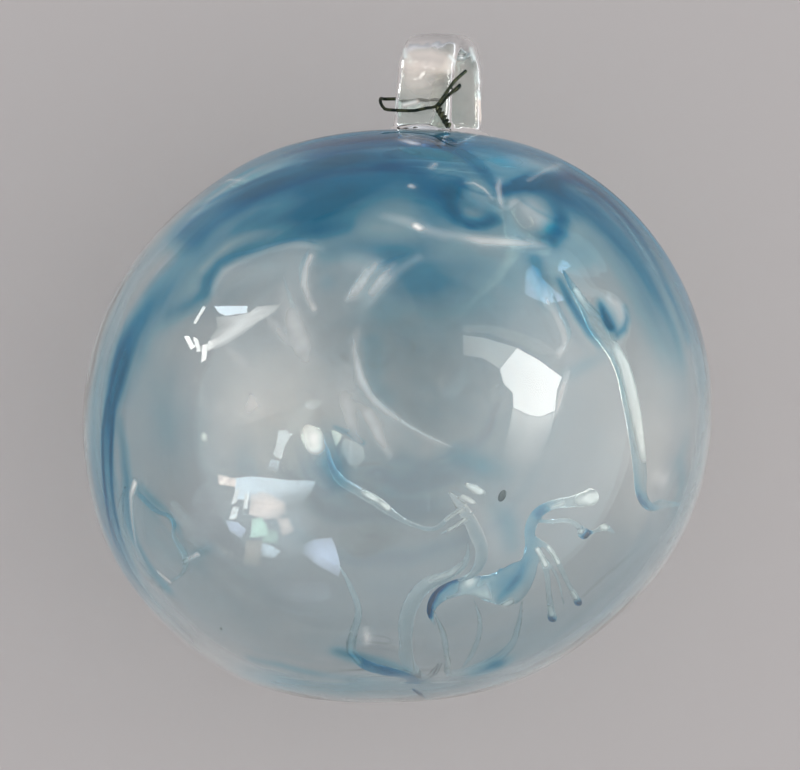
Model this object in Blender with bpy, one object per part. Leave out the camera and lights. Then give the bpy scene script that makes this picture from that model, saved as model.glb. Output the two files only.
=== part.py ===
"""Friendship ball: a hand-blown blue glass globe, its applied clear loop and a twist of thin wire.

The globe lies on its side with the loop pointing along +Y. The origin is at the middle of the small
resting flat under the globe, +Z is up, and all lengths are in metres.
"""

import math

import bmesh
import bpy
from mathutils import Matrix, Vector

MM = 0.001

# Globe: a slightly flattened ball, solid because it is sealed, with its short axis out of line
# with the loop, as a piece swung on the pipe comes out.
GLOBE_WIDTH = 102.0 * MM
GLOBE_HEIGHT = 93.5 * MM
SHORT_AXIS_TURN = math.radians(22.0)
SQUARENESS = 2.08
FLAT_WIDTH = 16.5 * MM
SKIN_SPLITS = 5
DENT_SPLITS = 2
DENT_REACH = 1.5
DENT_EDGE = 2.0 * MM
BROAD_SPREAD = 10.0 * MM

# Hollows pressed or drawn into the skin, and swellings where the depth is negative. Turn goes from
# +Y towards +X, rise from level towards +Z.
DENTS = {
    "loop_end": {"turn": 0, "rise": 0, "depth": 1.3 * MM, "spread": 15.0 * MM},
    "base_end": {"turn": 175, "rise": 0, "depth": 2.3 * MM, "spread": 13.0 * MM},
    "low_side": {"turn": 127, "rise": 0, "depth": 0.8 * MM, "spread": 12.0 * MM},
    "shoulder_swelling": {"turn": -36, "rise": 0, "depth": -0.6 * MM, "spread": 11.0 * MM},
    "side_swelling": {"turn": -123, "rise": 0, "depth": -0.6 * MM, "spread": 11.0 * MM},
    "left_wing": {"turn": 12.7, "rise": 47.1, "depth": 2.0 * MM, "spread": 3.8 * MM},
    "right_wing": {"turn": 27.2, "rise": 44.4, "depth": 2.0 * MM, "spread": 3.8 * MM},
    "small_navel": {"turn": 56.3, "rise": 46.4, "depth": 1.2 * MM, "spread": 3.0 * MM},
    "thread_top": {"turn": 39.8, "rise": 50.8, "depth": 0.5 * MM, "spread": 3.2 * MM},
    "thread_foot": {"turn": 97.4, "rise": 26.4, "depth": 0.9 * MM, "spread": 3.8 * MM},
    "front_knot": {"turn": -135.5, "rise": 77.9, "depth": 0.8 * MM, "spread": 4.0 * MM},
    "base_fold": {"turn": 177.1, "rise": 41.4, "depth": 1.1 * MM, "spread": 4.8 * MM},
    "under_knot": {"turn": -62, "rise": -36, "depth": 1.1 * MM, "spread": 4.6 * MM},
    "under_fold": {"turn": 118, "rise": -42, "depth": 1.1 * MM, "spread": 4.6 * MM},
}

# Loop: a flattened strap of clear glass, bent over and pressed down at both ends into a round pad.
LOOP_HEIGHT = 16.3 * MM
LOOP_DEPTH = 15.4 * MM
STRAP_WIDTH = 10.0 * MM
STRAP_THICKNESS = 3.3 * MM
STRAP_FOOT_FLARE = 1.10
FLARE_SHARE = 0.55
STRAP_END_SINK = 2.5 * MM
ARCH_SQUARENESS = 3.2
LOOP_LEAN = math.radians(5.5)
EYE_TURN = math.radians(25.0)
PAD_WIDTH = 19.4 * MM
PAD_RISE = 2.1 * MM
PAD_SINK = 0.5 * MM
SEAT_GAP = 0.3 * MM
STRAP_STATIONS = 30
STRAP_SIDES = 16

# Wire: one soft wire led through the loop, round its front leg and doubled back in a short twist.
WIRE_THICKNESS = 0.55 * MM
WIRE_CLEARANCE = 0.4 * MM
WIRE_SLACK = 1.4 * MM
RIGHT_HEIGHT = 7.2 * MM
KNOT_HEIGHT = 3.6 * MM
FRONT_HEIGHT = 2.8 * MM
FRONT_LEFT_HEIGHT = 3.0 * MM
LEFT_HEIGHT = 5.1 * MM
BACK_HEIGHT = 5.5 * MM
RING_STEP = 18
KNOT_ANGLE = 50
KNOT_DROP = 0.2 * MM
ARM_END_STANDOFF = 2.6 * MM
ARM_MIDDLE_STANDOFF = 1.7 * MM
CLOSING_STANDOFF = 0.7 * MM
FREE_END_THROUGH = 1.6 * MM
FREE_END_OUT = 2.1 * MM
FREE_END_AHEAD = 1.2 * MM
TWIST_HEADING = Vector((0.62, -0.68, 0.39))
TWIST_LENGTH = 4.6 * MM
TWIST_TURNS = 2.5
TWIST_STEPS = 26
STRAND_GAP = 0.08 * MM

# Colours of the clear, the blue and the wire.
BLUE_GLASS = (0.30, 0.56, 0.72, 1.0)
CLEAR_GLASS = (0.90, 0.92, 0.92, 1.0)
DARK_WIRE = (0.07, 0.065, 0.045, 1.0)


def resting_depth():
    """How far the resting flat cuts into the globe's lowest point."""
    half = GLOBE_WIDTH / 2
    return half - math.sqrt(half**2 - (FLAT_WIDTH / 2) ** 2)


def globe_centre():
    return Vector((0, 0, GLOBE_WIDTH / 2 - resting_depth()))


def direction(turn, rise):
    """The unit vector at these angles in degrees."""
    turn, rise = math.radians(turn), math.radians(rise)
    return Vector((math.sin(turn) * math.cos(rise), math.cos(turn) * math.cos(rise), math.sin(rise)))


def globe_radius(heading):
    """Distance from the globe's centre to its skin along a unit vector, dents included."""
    short_axis = Vector((-math.sin(SHORT_AXIS_TURN), math.cos(SHORT_AXIS_TURN), 0))
    along = abs(heading.dot(short_axis))
    across = math.sqrt(max(0.0, 1 - along**2))
    level = (across / (GLOBE_WIDTH / 2)) ** SQUARENESS + (along / (GLOBE_HEIGHT / 2)) ** SQUARENESS
    radius = level ** (-1 / SQUARENESS)
    pressed = 0.0
    for dent in DENTS.values():
        away = heading.angle(direction(dent["turn"], dent["rise"])) * radius
        pressed += dent["depth"] * math.exp(-((away / dent["spread"]) ** 2))
    return radius - pressed


def skin_point(heading, clearance=0.0):
    return globe_centre() + heading * (globe_radius(heading) + clearance)


def glass(name, colour):
    material = bpy.data.materials.new(name)
    material.use_nodes = True
    shader = material.node_tree.nodes["Principled BSDF"]
    shader.inputs["Base Color"].default_value = colour
    shader.inputs["Roughness"].default_value = 0.02
    shader.inputs["IOR"].default_value = 1.5
    shader.inputs["Transmission Weight"].default_value = 1.0
    return material


def dark_metal(name, colour):
    material = bpy.data.materials.new(name)
    material.use_nodes = True
    shader = material.node_tree.nodes["Principled BSDF"]
    shader.inputs["Base Color"].default_value = colour
    shader.inputs["Roughness"].default_value = 0.45
    shader.inputs["Metallic"].default_value = 0.85
    return material


def object_from(mesh_builder, name, material):
    """A smooth-shaded object made from a filled bmesh."""
    mesh = bpy.data.meshes.new(name)
    mesh_builder.to_mesh(mesh)
    mesh_builder.free()
    mesh.shade_smooth()
    mesh.set_sharp_from_angle(angle=math.radians(40))
    mesh.materials.append(material)
    made = bpy.data.objects.new(name, mesh)
    bpy.context.scene.collection.objects.link(made)
    return made


def as_cutter(helper):
    helper.hide_render = True
    helper.display_type = "WIRE"
    return helper


def press_to_skin(builder, clearance=0.0):
    """Moves every vertex of a ball round the origin onto the globe's skin."""
    for vert in builder.verts:
        vert.co = skin_point(vert.co.normalized(), clearance)


def split_near_dents(builder):
    """Finer faces in the small dents, whose curves are tighter than the ball's."""
    small = [dent for dent in DENTS.values() if dent["spread"] < BROAD_SPREAD]
    for _ in range(DENT_SPLITS):
        edges = set()
        for edge in builder.edges:
            middle = ((edge.verts[0].co + edge.verts[1].co) / 2).normalized()
            for dent in small:
                away = middle.angle(direction(dent["turn"], dent["rise"])) * GLOBE_WIDTH / 2
                if away < DENT_REACH * dent["spread"]:
                    edges.add(edge)
        long_edges = [edge for edge in edges if edge.calc_length() * GLOBE_WIDTH / 2 > DENT_EDGE]
        bmesh.ops.subdivide_edges(builder, edges=long_edges, cuts=1, use_grid_fill=True)
        bmesh.ops.triangulate(builder, faces=builder.faces[:])


def make_globe():
    builder = bmesh.new()
    bmesh.ops.create_icosphere(builder, subdivisions=SKIN_SPLITS, radius=1.0)
    split_near_dents(builder)
    press_to_skin(builder)
    geometry = builder.verts[:] + builder.edges[:] + builder.faces[:]
    bmesh.ops.bisect_plane(
        builder, geom=geometry, dist=1e-7, plane_co=(0, 0, 0), plane_no=(0, 0, -1), clear_outer=True
    )
    rim = [edge for edge in builder.edges if edge.is_boundary]
    bmesh.ops.contextual_create(builder, geom=rim)
    bmesh.ops.recalc_face_normals(builder, faces=builder.faces[:])
    return object_from(builder, "glass_globe", glass("blue_glass", BLUE_GLASS))


def seat_cutter():
    """The globe grown by the seat gap, which shapes the underside of the loop's pad."""
    builder = bmesh.new()
    bmesh.ops.create_icosphere(builder, subdivisions=SKIN_SPLITS, radius=1.0)
    press_to_skin(builder, SEAT_GAP)
    return as_cutter(object_from(builder, "seat_cutter", glass("cutter", CLEAR_GLASS)))


def loop_axes():
    """The loop's own directions: through the eye, outwards, and from the rear leg to the front."""
    lean = Matrix.Rotation(LOOP_LEAN, 3, "Z")
    through = lean @ Vector((math.cos(EYE_TURN), 0, math.sin(EYE_TURN)))
    outwards = lean @ Vector((0, 1, 0))
    forwards = lean @ Vector((-math.sin(EYE_TURN), 0, math.cos(EYE_TURN)))
    return through, outwards, forwards


def in_loop(through, outwards, forwards):
    """A point of the part from distances along the loop's own directions, from its seat."""
    axes = loop_axes()
    return skin_point(direction(0, 0)) + through * axes[0] + outwards * axes[1] + forwards * axes[2]


def leg_offset():
    """From the loop's middle to the middle of either leg."""
    return (LOOP_DEPTH - STRAP_THICKNESS) / 2


def arch_point(share):
    """Middle of the strap at a share of its way over, as (forwards, outwards)."""
    angle = math.pi * share
    crown = LOOP_HEIGHT - STRAP_THICKNESS / 2
    power = 2 / ARCH_SQUARENESS
    forwards = leg_offset() * math.copysign(abs(math.cos(angle)) ** power, math.cos(angle))
    return forwards, crown * max(0.0, math.sin(angle)) ** power


def strap_scale(share):
    """How much wider and thicker the strap is at a share of its way than at mid-leg."""
    height = math.sin(math.pi * share)
    foot = max(0.0, 1 - height / FLARE_SHARE) ** 2
    return 1 + (STRAP_FOOT_FLARE - 1) * foot


def strap_builder():
    """The bent strap, swept ring by ring along its arch, with its ends sunk below the pad."""
    through, outwards, forwards = loop_axes()
    shares = [0.5 - 0.5 * math.cos(math.pi * i / STRAP_STATIONS) for i in range(STRAP_STATIONS + 1)]
    route = [arch_point(share) for share in shares]
    route = [(route[0][0], -STRAP_END_SINK)] + route + [(route[-1][0], -STRAP_END_SINK)]
    shares = [0.0] + shares + [1.0]
    builder = bmesh.new()
    rings = []
    for i, (forward, outward) in enumerate(route):
        before, after = route[max(i - 1, 0)], route[min(i + 1, len(route) - 1)]
        run = Vector((after[0] - before[0], after[1] - before[1])).normalized()
        side = forwards * run.y - outwards * run.x
        half_width = STRAP_WIDTH / 2 * strap_scale(shares[i])
        half_thickness = STRAP_THICKNESS / 2 * strap_scale(shares[i])
        ring = []
        for k in range(STRAP_SIDES):
            angle = math.tau * k / STRAP_SIDES
            offset = through * half_width * math.cos(angle) + side * half_thickness * math.sin(angle)
            ring.append(builder.verts.new(in_loop(0, outward, forward) + offset))
        rings.append(ring)
    for lower, upper in zip(rings, rings[1:]):
        for k in range(STRAP_SIDES):
            after = (k + 1) % STRAP_SIDES
            builder.faces.new((lower[k], lower[after], upper[after], upper[k]))
    builder.faces.new(rings[0])
    builder.faces.new(rings[-1])
    bmesh.ops.recalc_face_normals(builder, faces=builder.faces[:])
    return builder


def pad_builder():
    """The low round pad under the strap's feet, a flattened ball half sunk in the globe."""
    builder = bmesh.new()
    bmesh.ops.create_uvsphere(builder, u_segments=40, v_segments=16, radius=1.0)
    through, outwards, forwards = loop_axes()
    radial = direction(0, 0)
    around = Matrix((radial.cross(through).normalized(), through, radial)).transposed()
    middle = skin_point(radial) - radial * PAD_SINK
    for vert in builder.verts:
        half_sizes = Vector((PAD_WIDTH / 2, PAD_WIDTH / 2, PAD_RISE + PAD_SINK))
        vert.co = middle + around @ (vert.co * half_sizes)
    bmesh.ops.recalc_face_normals(builder, faces=builder.faces[:])
    return builder


def make_loop():
    clear = glass("clear_glass", CLEAR_GLASS)
    loop = object_from(strap_builder(), "hanging_loop", clear)
    pad = as_cutter(object_from(pad_builder(), "pad_form", clear))
    for name, operation, tool in (("join_pad", "UNION", pad), ("seat", "DIFFERENCE", seat_cutter())):
        cut = loop.modifiers.new(name, "BOOLEAN")
        cut.operation = operation
        cut.object = tool
        cut.solver = "EXACT"
    return loop


def ring_height(degrees):
    """How high the ring stands above the seat, eased between its named heights."""
    heights = {
        0: RIGHT_HEIGHT,
        KNOT_ANGLE: KNOT_HEIGHT,
        90: FRONT_HEIGHT,
        130: FRONT_LEFT_HEIGHT,
        180: LEFT_HEIGHT,
        270: BACK_HEIGHT,
        360: RIGHT_HEIGHT,
    }
    stops = sorted(heights)
    upper = next(stop for stop in stops if stop >= degrees)
    lower = max(stop for stop in stops if stop <= degrees)
    share = 0.0 if upper == lower else (degrees - lower) / (upper - lower)
    eased = share * share * (3 - 2 * share)
    return heights[lower] + (heights[upper] - heights[lower]) * eased


def ring_point(angle):
    """The wire's ring round the front leg: angle 0 is its right end, a quarter turn its front."""
    reach = STRAP_WIDTH / 2 * STRAP_FOOT_FLARE + WIRE_CLEARANCE + WIRE_THICKNESS / 2
    depth = STRAP_THICKNESS / 2 * STRAP_FOOT_FLARE + WIRE_CLEARANCE + WIRE_THICKNESS
    through = reach * math.cos(angle) - WIRE_SLACK / 2 * (1 - math.cos(angle))
    forwards = leg_offset() + depth * math.sin(angle)
    return Vector((through, ring_height(math.degrees(angle)), forwards))


def twist_point(start, end, turned, phase):
    """A strand's middle on the twist from start to end, at a share of its length."""
    run = (end - start).normalized()
    side = run.cross(Vector((0, 0, 1))).normalized()
    other = run.cross(side)
    angle = math.tau * TWIST_TURNS * turned + phase
    apart = (WIRE_THICKNESS + STRAND_GAP) / 2
    return start.lerp(end, turned) + (side * math.cos(angle) + other * math.sin(angle)) * apart


def smooth_route(points, steps):
    """A Catmull-Rom curve through the points, which are all kept."""
    route = []
    for i in range(len(points) - 1):
        before, after = points[max(i - 1, 0)], points[min(i + 2, len(points) - 1)]
        here, there = points[i], points[i + 1]
        for step in range(steps):
            t = step / steps
            route.append(
                0.5
                * (
                    2 * here
                    + (there - before) * t
                    + (2 * before - 5 * here + 4 * there - after) * t**2
                    + (3 * here - before - 3 * there + after) * t**3
                )
            )
    return route + [points[-1]]


def wire_route():
    """The wire's middle line in the loop's own directions: free end, ring, then the doubled twist."""
    knot = ring_point(math.radians(KNOT_ANGLE)) + Vector((0, -KNOT_DROP, WIRE_THICKNESS))
    run = TWIST_HEADING.normalized()
    tail = knot + run * TWIST_LENGTH
    right_end = ring_point(0)
    part_way = knot.lerp(right_end, 0.4)
    arm = [
        right_end + Vector((FREE_END_THROUGH, FREE_END_OUT, FREE_END_AHEAD)),
        right_end + Vector((WIRE_THICKNESS / 2, WIRE_THICKNESS / 2, ARM_END_STANDOFF)),
        part_way + Vector((WIRE_THICKNESS / 2, 0, ARM_MIDDLE_STANDOFF)),
        knot + Vector((0, 0, 1.25 * WIRE_THICKNESS)),
    ]
    ring = [ring_point(math.radians(angle)) for angle in range(KNOT_ANGLE + RING_STEP, 361, RING_STEP)]
    closing = [part_way + Vector((WIRE_THICKNESS / 2, 0, CLOSING_STANDOFF))]
    down = [twist_point(knot, tail, i / TWIST_STEPS, 0.0) for i in range(1, TWIST_STEPS + 1)]
    bend = [tail + run * WIRE_THICKNESS * 0.55]
    back = [twist_point(knot, tail, i / TWIST_STEPS, math.pi) for i in range(TWIST_STEPS, 1, -1)]
    return smooth_route(arm + ring, 2) + smooth_route(closing + down[:1], 3)[:-1] + down + bend + back


def make_wire():
    curve = bpy.data.curves.new("hanging_wire", "CURVE")
    curve.dimensions = "3D"
    curve.bevel_depth = WIRE_THICKNESS / 2
    curve.bevel_resolution = 2
    curve.use_fill_caps = True
    route = wire_route()
    spline = curve.splines.new("POLY")
    spline.points.add(len(route) - 1)
    for point, place in zip(spline.points, route):
        point.co = (*in_loop(*place), 1.0)
    curve.materials.append(dark_metal("dark_wire", DARK_WIRE))
    wire = bpy.data.objects.new("hanging_wire", curve)
    bpy.context.scene.collection.objects.link(wire)
    return wire


def main():
    for thing in list(bpy.data.objects):
        bpy.data.objects.remove(thing)
    make_globe()
    make_loop()
    make_wire()


main()
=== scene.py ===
import math

import bpy
import numpy as np
from mathutils import Matrix, Vector
from mathutils.interpolate import poly_3d_calc


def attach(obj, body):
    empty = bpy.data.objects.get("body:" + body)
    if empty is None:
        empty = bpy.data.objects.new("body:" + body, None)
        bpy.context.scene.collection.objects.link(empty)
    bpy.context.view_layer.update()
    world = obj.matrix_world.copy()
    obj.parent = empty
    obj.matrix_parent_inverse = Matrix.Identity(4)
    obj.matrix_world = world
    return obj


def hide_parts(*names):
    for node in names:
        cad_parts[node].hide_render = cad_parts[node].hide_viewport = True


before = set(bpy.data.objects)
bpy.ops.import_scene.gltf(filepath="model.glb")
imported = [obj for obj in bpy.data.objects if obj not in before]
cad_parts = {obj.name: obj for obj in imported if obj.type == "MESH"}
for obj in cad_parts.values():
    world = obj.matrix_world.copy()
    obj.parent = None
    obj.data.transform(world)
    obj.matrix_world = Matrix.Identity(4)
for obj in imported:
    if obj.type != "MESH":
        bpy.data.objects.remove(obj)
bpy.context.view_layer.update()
bpy.ops.object.select_all(action="DESELECT")
print("frame loaded:", sorted(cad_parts))

mm = 0.001
nudge = 0.001 * mm  # a step past a surface, so that the next ray leaves it
leastSlant = 0.35  # keeps a depth from being stretched without end at the ball's rim

# The ball, in millimetres and degrees. A dent has its turn from the loop towards +X,
# its rise from level towards the camera, its depth and its spread.
ball = {
    "width": 102.0,
    "height": 93.5,
    "shortAxisTurn": 22.0,
    "fullness": 0.65,
    "flat": 16.5,
    "wall": 2.4,
    "ripple": 0.14,
    "rippleSize": 16,
    "backWaves": 0.2,  # how far the far side is wavy
    "backWaveSize": 11,
    "backFrom": 108,  # degrees from straight up where the waves begin
    "backFade": 25,
    "dents": [
        (0, 0, 1.3, 15.0), (175, 0, 2.3, 13.0), (127, 0, 0.8, 12.0),
        (-36, 0, -0.6, 11.0), (-123, 0, -0.6, 11.0),
        (12.7, 47.1, 1.0, 3.6), (27.2, 44.4, 1.0, 3.6), (56.3, 46.4, 0.8, 2.8), (39.8, 50.8, 0.5, 3.2),
        (97.4, 26.4, 0.3, 4.5), (-135.5, 77.9, 0.8, 4.0), (177.1, 41.4, 1.1, 4.8),
        (-62, -36, 1.1, 4.6), (118, -42, 1.1, 4.6),
    ],
    "outerFine": [(0, 90, 77), (0, 90, 75), (30, 46, 13)],  # turn, rise and reach of finer mesh
    "innerFine": [(0, 90, 76), (20, 46, 15)],
}
halfWidth = ball["width"] / 2
centre = Vector((0, 0, math.sqrt(halfWidth**2 - (ball["flat"] / 2) ** 2))) * mm

# The camera looks straight down. Its picture has the photo's pixels.
picture = {"wide": 800, "tall": 770, "sensor": 36}
camera = {"distance": 420.0, "lens": 116.1, "roll": 8.1, "right": 0.42, "up": 5.01}
roll = math.radians(camera["roll"])
viewRight = Vector((math.cos(roll), math.sin(roll), 0))
viewUp = Vector((-math.sin(roll), math.cos(roll), 0))
focalPixels = picture["wide"] * camera["lens"] / picture["sensor"]


# A point given in millimetres to the right, up and towards the camera from the ball's centre.
def inView(right, up, near):
    return centre + (viewRight * right + viewUp * up + Vector((0, 0, near))) * mm


cameraPlace = inView(camera["right"], camera["up"], camera["distance"])
bpy.ops.object.camera_add(location=cameraPlace, rotation=(0, 0, roll))
photoCamera = bpy.context.object
photoCamera.data.lens = camera["lens"]
photoCamera.data.clip_start = 0.01
bpy.context.scene.camera = photoCamera
print("camera set")


# Shader sums are written as Python expressions on this wrapper.
class Sum:
    def __init__(self, tree, socket):
        self.tree = tree
        self.socket = socket

    def node(self, kind, settings, inputs, output=0):
        made = self.tree.nodes.new(kind)
        for name, value in settings.items():
            if name == "stops":
                ramp = made.color_ramp
                while len(ramp.elements) < len(value):
                    ramp.elements.new(0.5)
                for element, (position, colour) in zip(ramp.elements, value):
                    element.position = position
                    element.color = colour
            else:
                setattr(made, name, value)
        for name, value in inputs.items():
            if isinstance(value, Sum):
                self.tree.links.new(value.socket, made.inputs[name])
            else:
                made.inputs[name].default_value = value
        return Sum(self.tree, made.outputs[output])

    def math(self, operation, first, second=0.0):
        return self.node("ShaderNodeMath", {"operation": operation}, {0: first, 1: second})

    def __add__(self, other):
        return self.math("ADD", self, other)

    def __radd__(self, other):
        return self.math("ADD", other, self)

    def __sub__(self, other):
        return self.math("SUBTRACT", self, other)

    def __rsub__(self, other):
        return self.math("SUBTRACT", other, self)

    def __mul__(self, other):
        return self.math("MULTIPLY", self, other)

    def __rmul__(self, other):
        return self.math("MULTIPLY", other, self)

    # 0 below low and 1 above high, eased in between
    def between(self, low, high):
        limits = {"Value": self, "From Min": low, "From Max": high}
        return self.node("ShaderNodeMapRange", {"interpolation_type": "SMOOTHSTEP"}, limits)

    # the first colour where this is 0 and the second where it is 1
    def blend(self, first, second):
        return self.node("ShaderNodeMix", {"data_type": "RGBA"}, {0: self, 6: first, 7: second}, 2)


# A material with its Principled shader, and wrappers to start sums from.
def newMaterial(name, roughness, settings):
    material = bpy.data.materials.new(name)
    material.use_nodes = True
    shader = material.node_tree.nodes["Principled BSDF"]
    shader.inputs["Roughness"].default_value = roughness
    for socket, value in settings.items():
        shader.inputs[socket].default_value = value
    start = Sum(material.node_tree, None)
    place = start.node("ShaderNodeTexCoord", {}, {}, "Object")
    return material, shader, start, place


# An amount painted on the piece's points.
def painted(start, name):
    return start.node("ShaderNodeAttribute", {"attribute_name": name}, {}, "Fac")


def feed(shader, socket, value):
    value.tree.links.new(value.socket, shader.inputs[socket])


# The piece's place goes into its mesh, and it rides on the part.
def finishPiece(piece, nodes=()):
    bpy.ops.object.select_all(action="DESELECT")
    piece.select_set(True)
    bpy.context.view_layer.objects.active = piece
    bpy.ops.object.transform_apply(location=True, rotation=True, scale=True)
    bpy.ops.object.shade_smooth()
    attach(piece, "root")
    if nodes:
        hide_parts(*nodes)
    piece.select_set(False)


def applyAll(piece):
    bpy.context.view_layer.objects.active = piece
    for modifier in list(piece.modifiers):
        bpy.ops.object.modifier_apply(modifier=modifier.name)


def direction(turn, rise):
    turn, rise = math.radians(turn), math.radians(rise)
    return Vector((math.sin(turn) * math.cos(rise), math.cos(turn) * math.cos(rise), math.sin(rise)))


def points(piece):
    flat = np.empty(len(piece.data.vertices) * 3)
    piece.data.vertices.foreach_get("co", flat)
    return flat.reshape(-1, 3)


def weighGroup(piece, name, weights):
    group = piece.vertex_groups.new(name=name)
    for index in np.nonzero(weights > 0.004)[0]:
        group.add([int(index)], float(min(weights[index], 1)), "REPLACE")


# Moves the surface in along its normals by the painted weights.
def press(piece, name, weights, depth, texture=None):
    weighGroup(piece, name, weights)
    push = piece.modifiers.new(name, "DISPLACE")
    push.vertex_group = name
    push.strength = -depth * mm
    push.mid_level = 0.0
    if texture:
        push.texture = texture
        push.texture_coords = "LOCAL"
    bpy.context.view_layer.objects.active = piece
    bpy.ops.object.modifier_apply(modifier=name)
    piece.vertex_groups.remove(piece.vertex_groups[name])


# The angle in degrees of each point, as seen from the ball's centre, from a heading.
def angleFrom(piece, turn, rise):
    spokes = points(piece) + np.array(piece.location - centre)
    spokes /= np.linalg.norm(spokes, axis=1)[:, None]
    return np.degrees(np.arccos(np.clip(spokes @ np.array(direction(turn, rise)), -1, 1)))


# The faces within reach of a heading are cut in four.
def cutFiner(piece, turn, rise, reach):
    near = angleFrom(piece, turn, rise) < reach
    bpy.ops.object.mode_set(mode="EDIT")
    bpy.ops.mesh.select_mode(type="FACE")
    bpy.ops.mesh.select_all(action="DESELECT")
    bpy.ops.object.mode_set(mode="OBJECT")
    for face in piece.data.polygons:
        face.select = bool(near[face.vertices[0]])
    bpy.ops.object.mode_set(mode="EDIT")
    bpy.ops.mesh.subdivide(number_cuts=1)
    bpy.ops.object.mode_set(mode="OBJECT")


# A skin of the ball: a sphere squashed along its short axis and dented.
def makeSkin(finePlaces):
    bpy.ops.mesh.primitive_ico_sphere_add(subdivisions=6, radius=halfWidth * mm, location=centre)
    skin = bpy.context.object
    for place in finePlaces:
        cutFiner(skin, *place)
    rounding = skin.modifiers.new("rounding", "CAST")
    rounding.factor = 1
    rounding.size = halfWidth * mm
    applyAll(skin)
    turn = math.radians(ball["shortAxisTurn"])
    bpy.ops.object.mode_set(mode="EDIT")
    bpy.ops.mesh.select_all(action="SELECT")
    bpy.ops.transform.resize(value=(1, ball["height"] / ball["width"], 1), center_override=centre)
    bpy.ops.object.mode_set(mode="OBJECT")
    skin.rotation_euler.z = turn
    bpy.ops.object.transform_apply(location=True, rotation=True, scale=True)
    spokes = points(skin) - np.array(centre)
    spokes /= np.linalg.norm(spokes, axis=1)[:, None]
    along = np.abs(spokes @ np.array((-math.sin(turn), math.cos(turn), 0)))
    press(skin, "fullness", 4 * along**2 * (1 - along**2), -ball["fullness"])
    for index, (turnTo, rise, depth, spread) in enumerate(ball["dents"]):
        away = np.radians(angleFrom(skin, turnTo, rise)) * halfWidth
        press(skin, f"dent{index}", np.exp(-((away / spread) ** 2)), depth)
    bpy.ops.object.mode_set(mode="EDIT")
    bpy.ops.mesh.select_all(action="SELECT")
    bpy.ops.mesh.bisect(plane_co=(0, 0, 0), plane_no=(0, 0, 1), use_fill=True, clear_inner=True)
    bpy.ops.mesh.select_all(action="SELECT")
    bpy.ops.mesh.normals_make_consistent(inside=False)
    bpy.ops.object.mode_set(mode="OBJECT")
    swell = bpy.data.textures.new("swell", "CLOUDS")
    swell.noise_scale = ball["backWaveSize"] * mm
    swell.noise_depth = 1
    behind = np.clip((angleFrom(skin, 0, 90) - ball["backFrom"]) / ball["backFade"], 0, 1)
    press(skin, "backWaves", behind, ball["backWaves"], swell)
    return skin


def storeAmount(piece, name, amount):
    stored = piece.data.attributes.new(name, "FLOAT", "POINT")
    stored.data.foreach_set("value", amount.astype(np.float32))


# The hollow ball: an outer skin, and an inner one a wall's thickness inside it and facing inwards.
def makeShell():
    inner = makeSkin(ball["innerFine"])
    whole = np.ones(len(inner.data.vertices))
    press(inner, "wall", whole, ball["wall"])
    waves = bpy.data.textures.new("waves", "CLOUDS")
    waves.noise_scale = ball["rippleSize"] * mm
    waves.noise_depth = 1
    press(inner, "ripple", whole, ball["ripple"], waves)
    bpy.ops.object.mode_set(mode="EDIT")
    bpy.ops.mesh.select_all(action="SELECT")
    bpy.ops.mesh.flip_normals()
    bpy.ops.object.mode_set(mode="OBJECT")
    storeAmount(inner, "inner", whole)
    shell = makeSkin(ball["outerFine"])
    shell.name = "glassBall"
    inner.select_set(True)
    bpy.ops.object.join()
    inside = np.empty(len(shell.data.vertices), np.float32)
    shell.data.attributes["inner"].data.foreach_get("value", inside)
    return shell, inside


shell, onInside = makeShell()
print("shell:", len(shell.data.polygons), "faces")


# The line of sight through a pixel of the photo.
def sight(across, down):
    right, below = across - picture["wide"] / 2, down - picture["tall"] / 2
    return (viewRight * right - viewUp * below - Vector((0, 0, focalPixels))).normalized()


# Where a pixel's line of sight meets the wall: layer 0 is the front's outside, 1 its inside,
# 2 the back's inside and 3 its outside. A depth in millimetres, square to the wall, goes on past it.
def wallAt(across, down, layer, deeper=0.0):
    aim = sight(across, down)
    spot = cameraPlace
    for _ in range(layer + 1):
        found, spot, normal, face = shell.ray_cast(spot + aim * nudge, aim)
        if not found:
            return None
    return spot + aim * deeper / max(leastSlant, abs(aim.dot(normal))) * mm


# The outside of the ball at a turn from the loop and a rise from level.
def skinAt(turn, rise):
    heading = direction(turn, rise)
    return shell.ray_cast(centre + heading * 100 * mm, -heading)[1]


# The ball's middle in the photo's pixels, between which reaches its outline is looked for,
# and how far inside the outline the rim's strokes run.
rim = {"across": 397, "down": 416, "least": 250, "most": 330, "tries": 8, "inset": 2}


# The ball's outside just within its outline, at a clock angle in degrees from the picture's top.
def onRim(clock):
    right, up = math.sin(math.radians(clock)), math.cos(math.radians(clock))

    def outAt(reach):
        return wallAt(rim["across"] + reach * right, rim["down"] - reach * up, 0)

    least, most = rim["least"], rim["most"]
    for _ in range(rim["tries"]):
        middle = (least + most) / 2
        least, most = (middle, most) if outAt(middle) else (least, middle)
    return outAt(least - rim["inset"])


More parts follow.
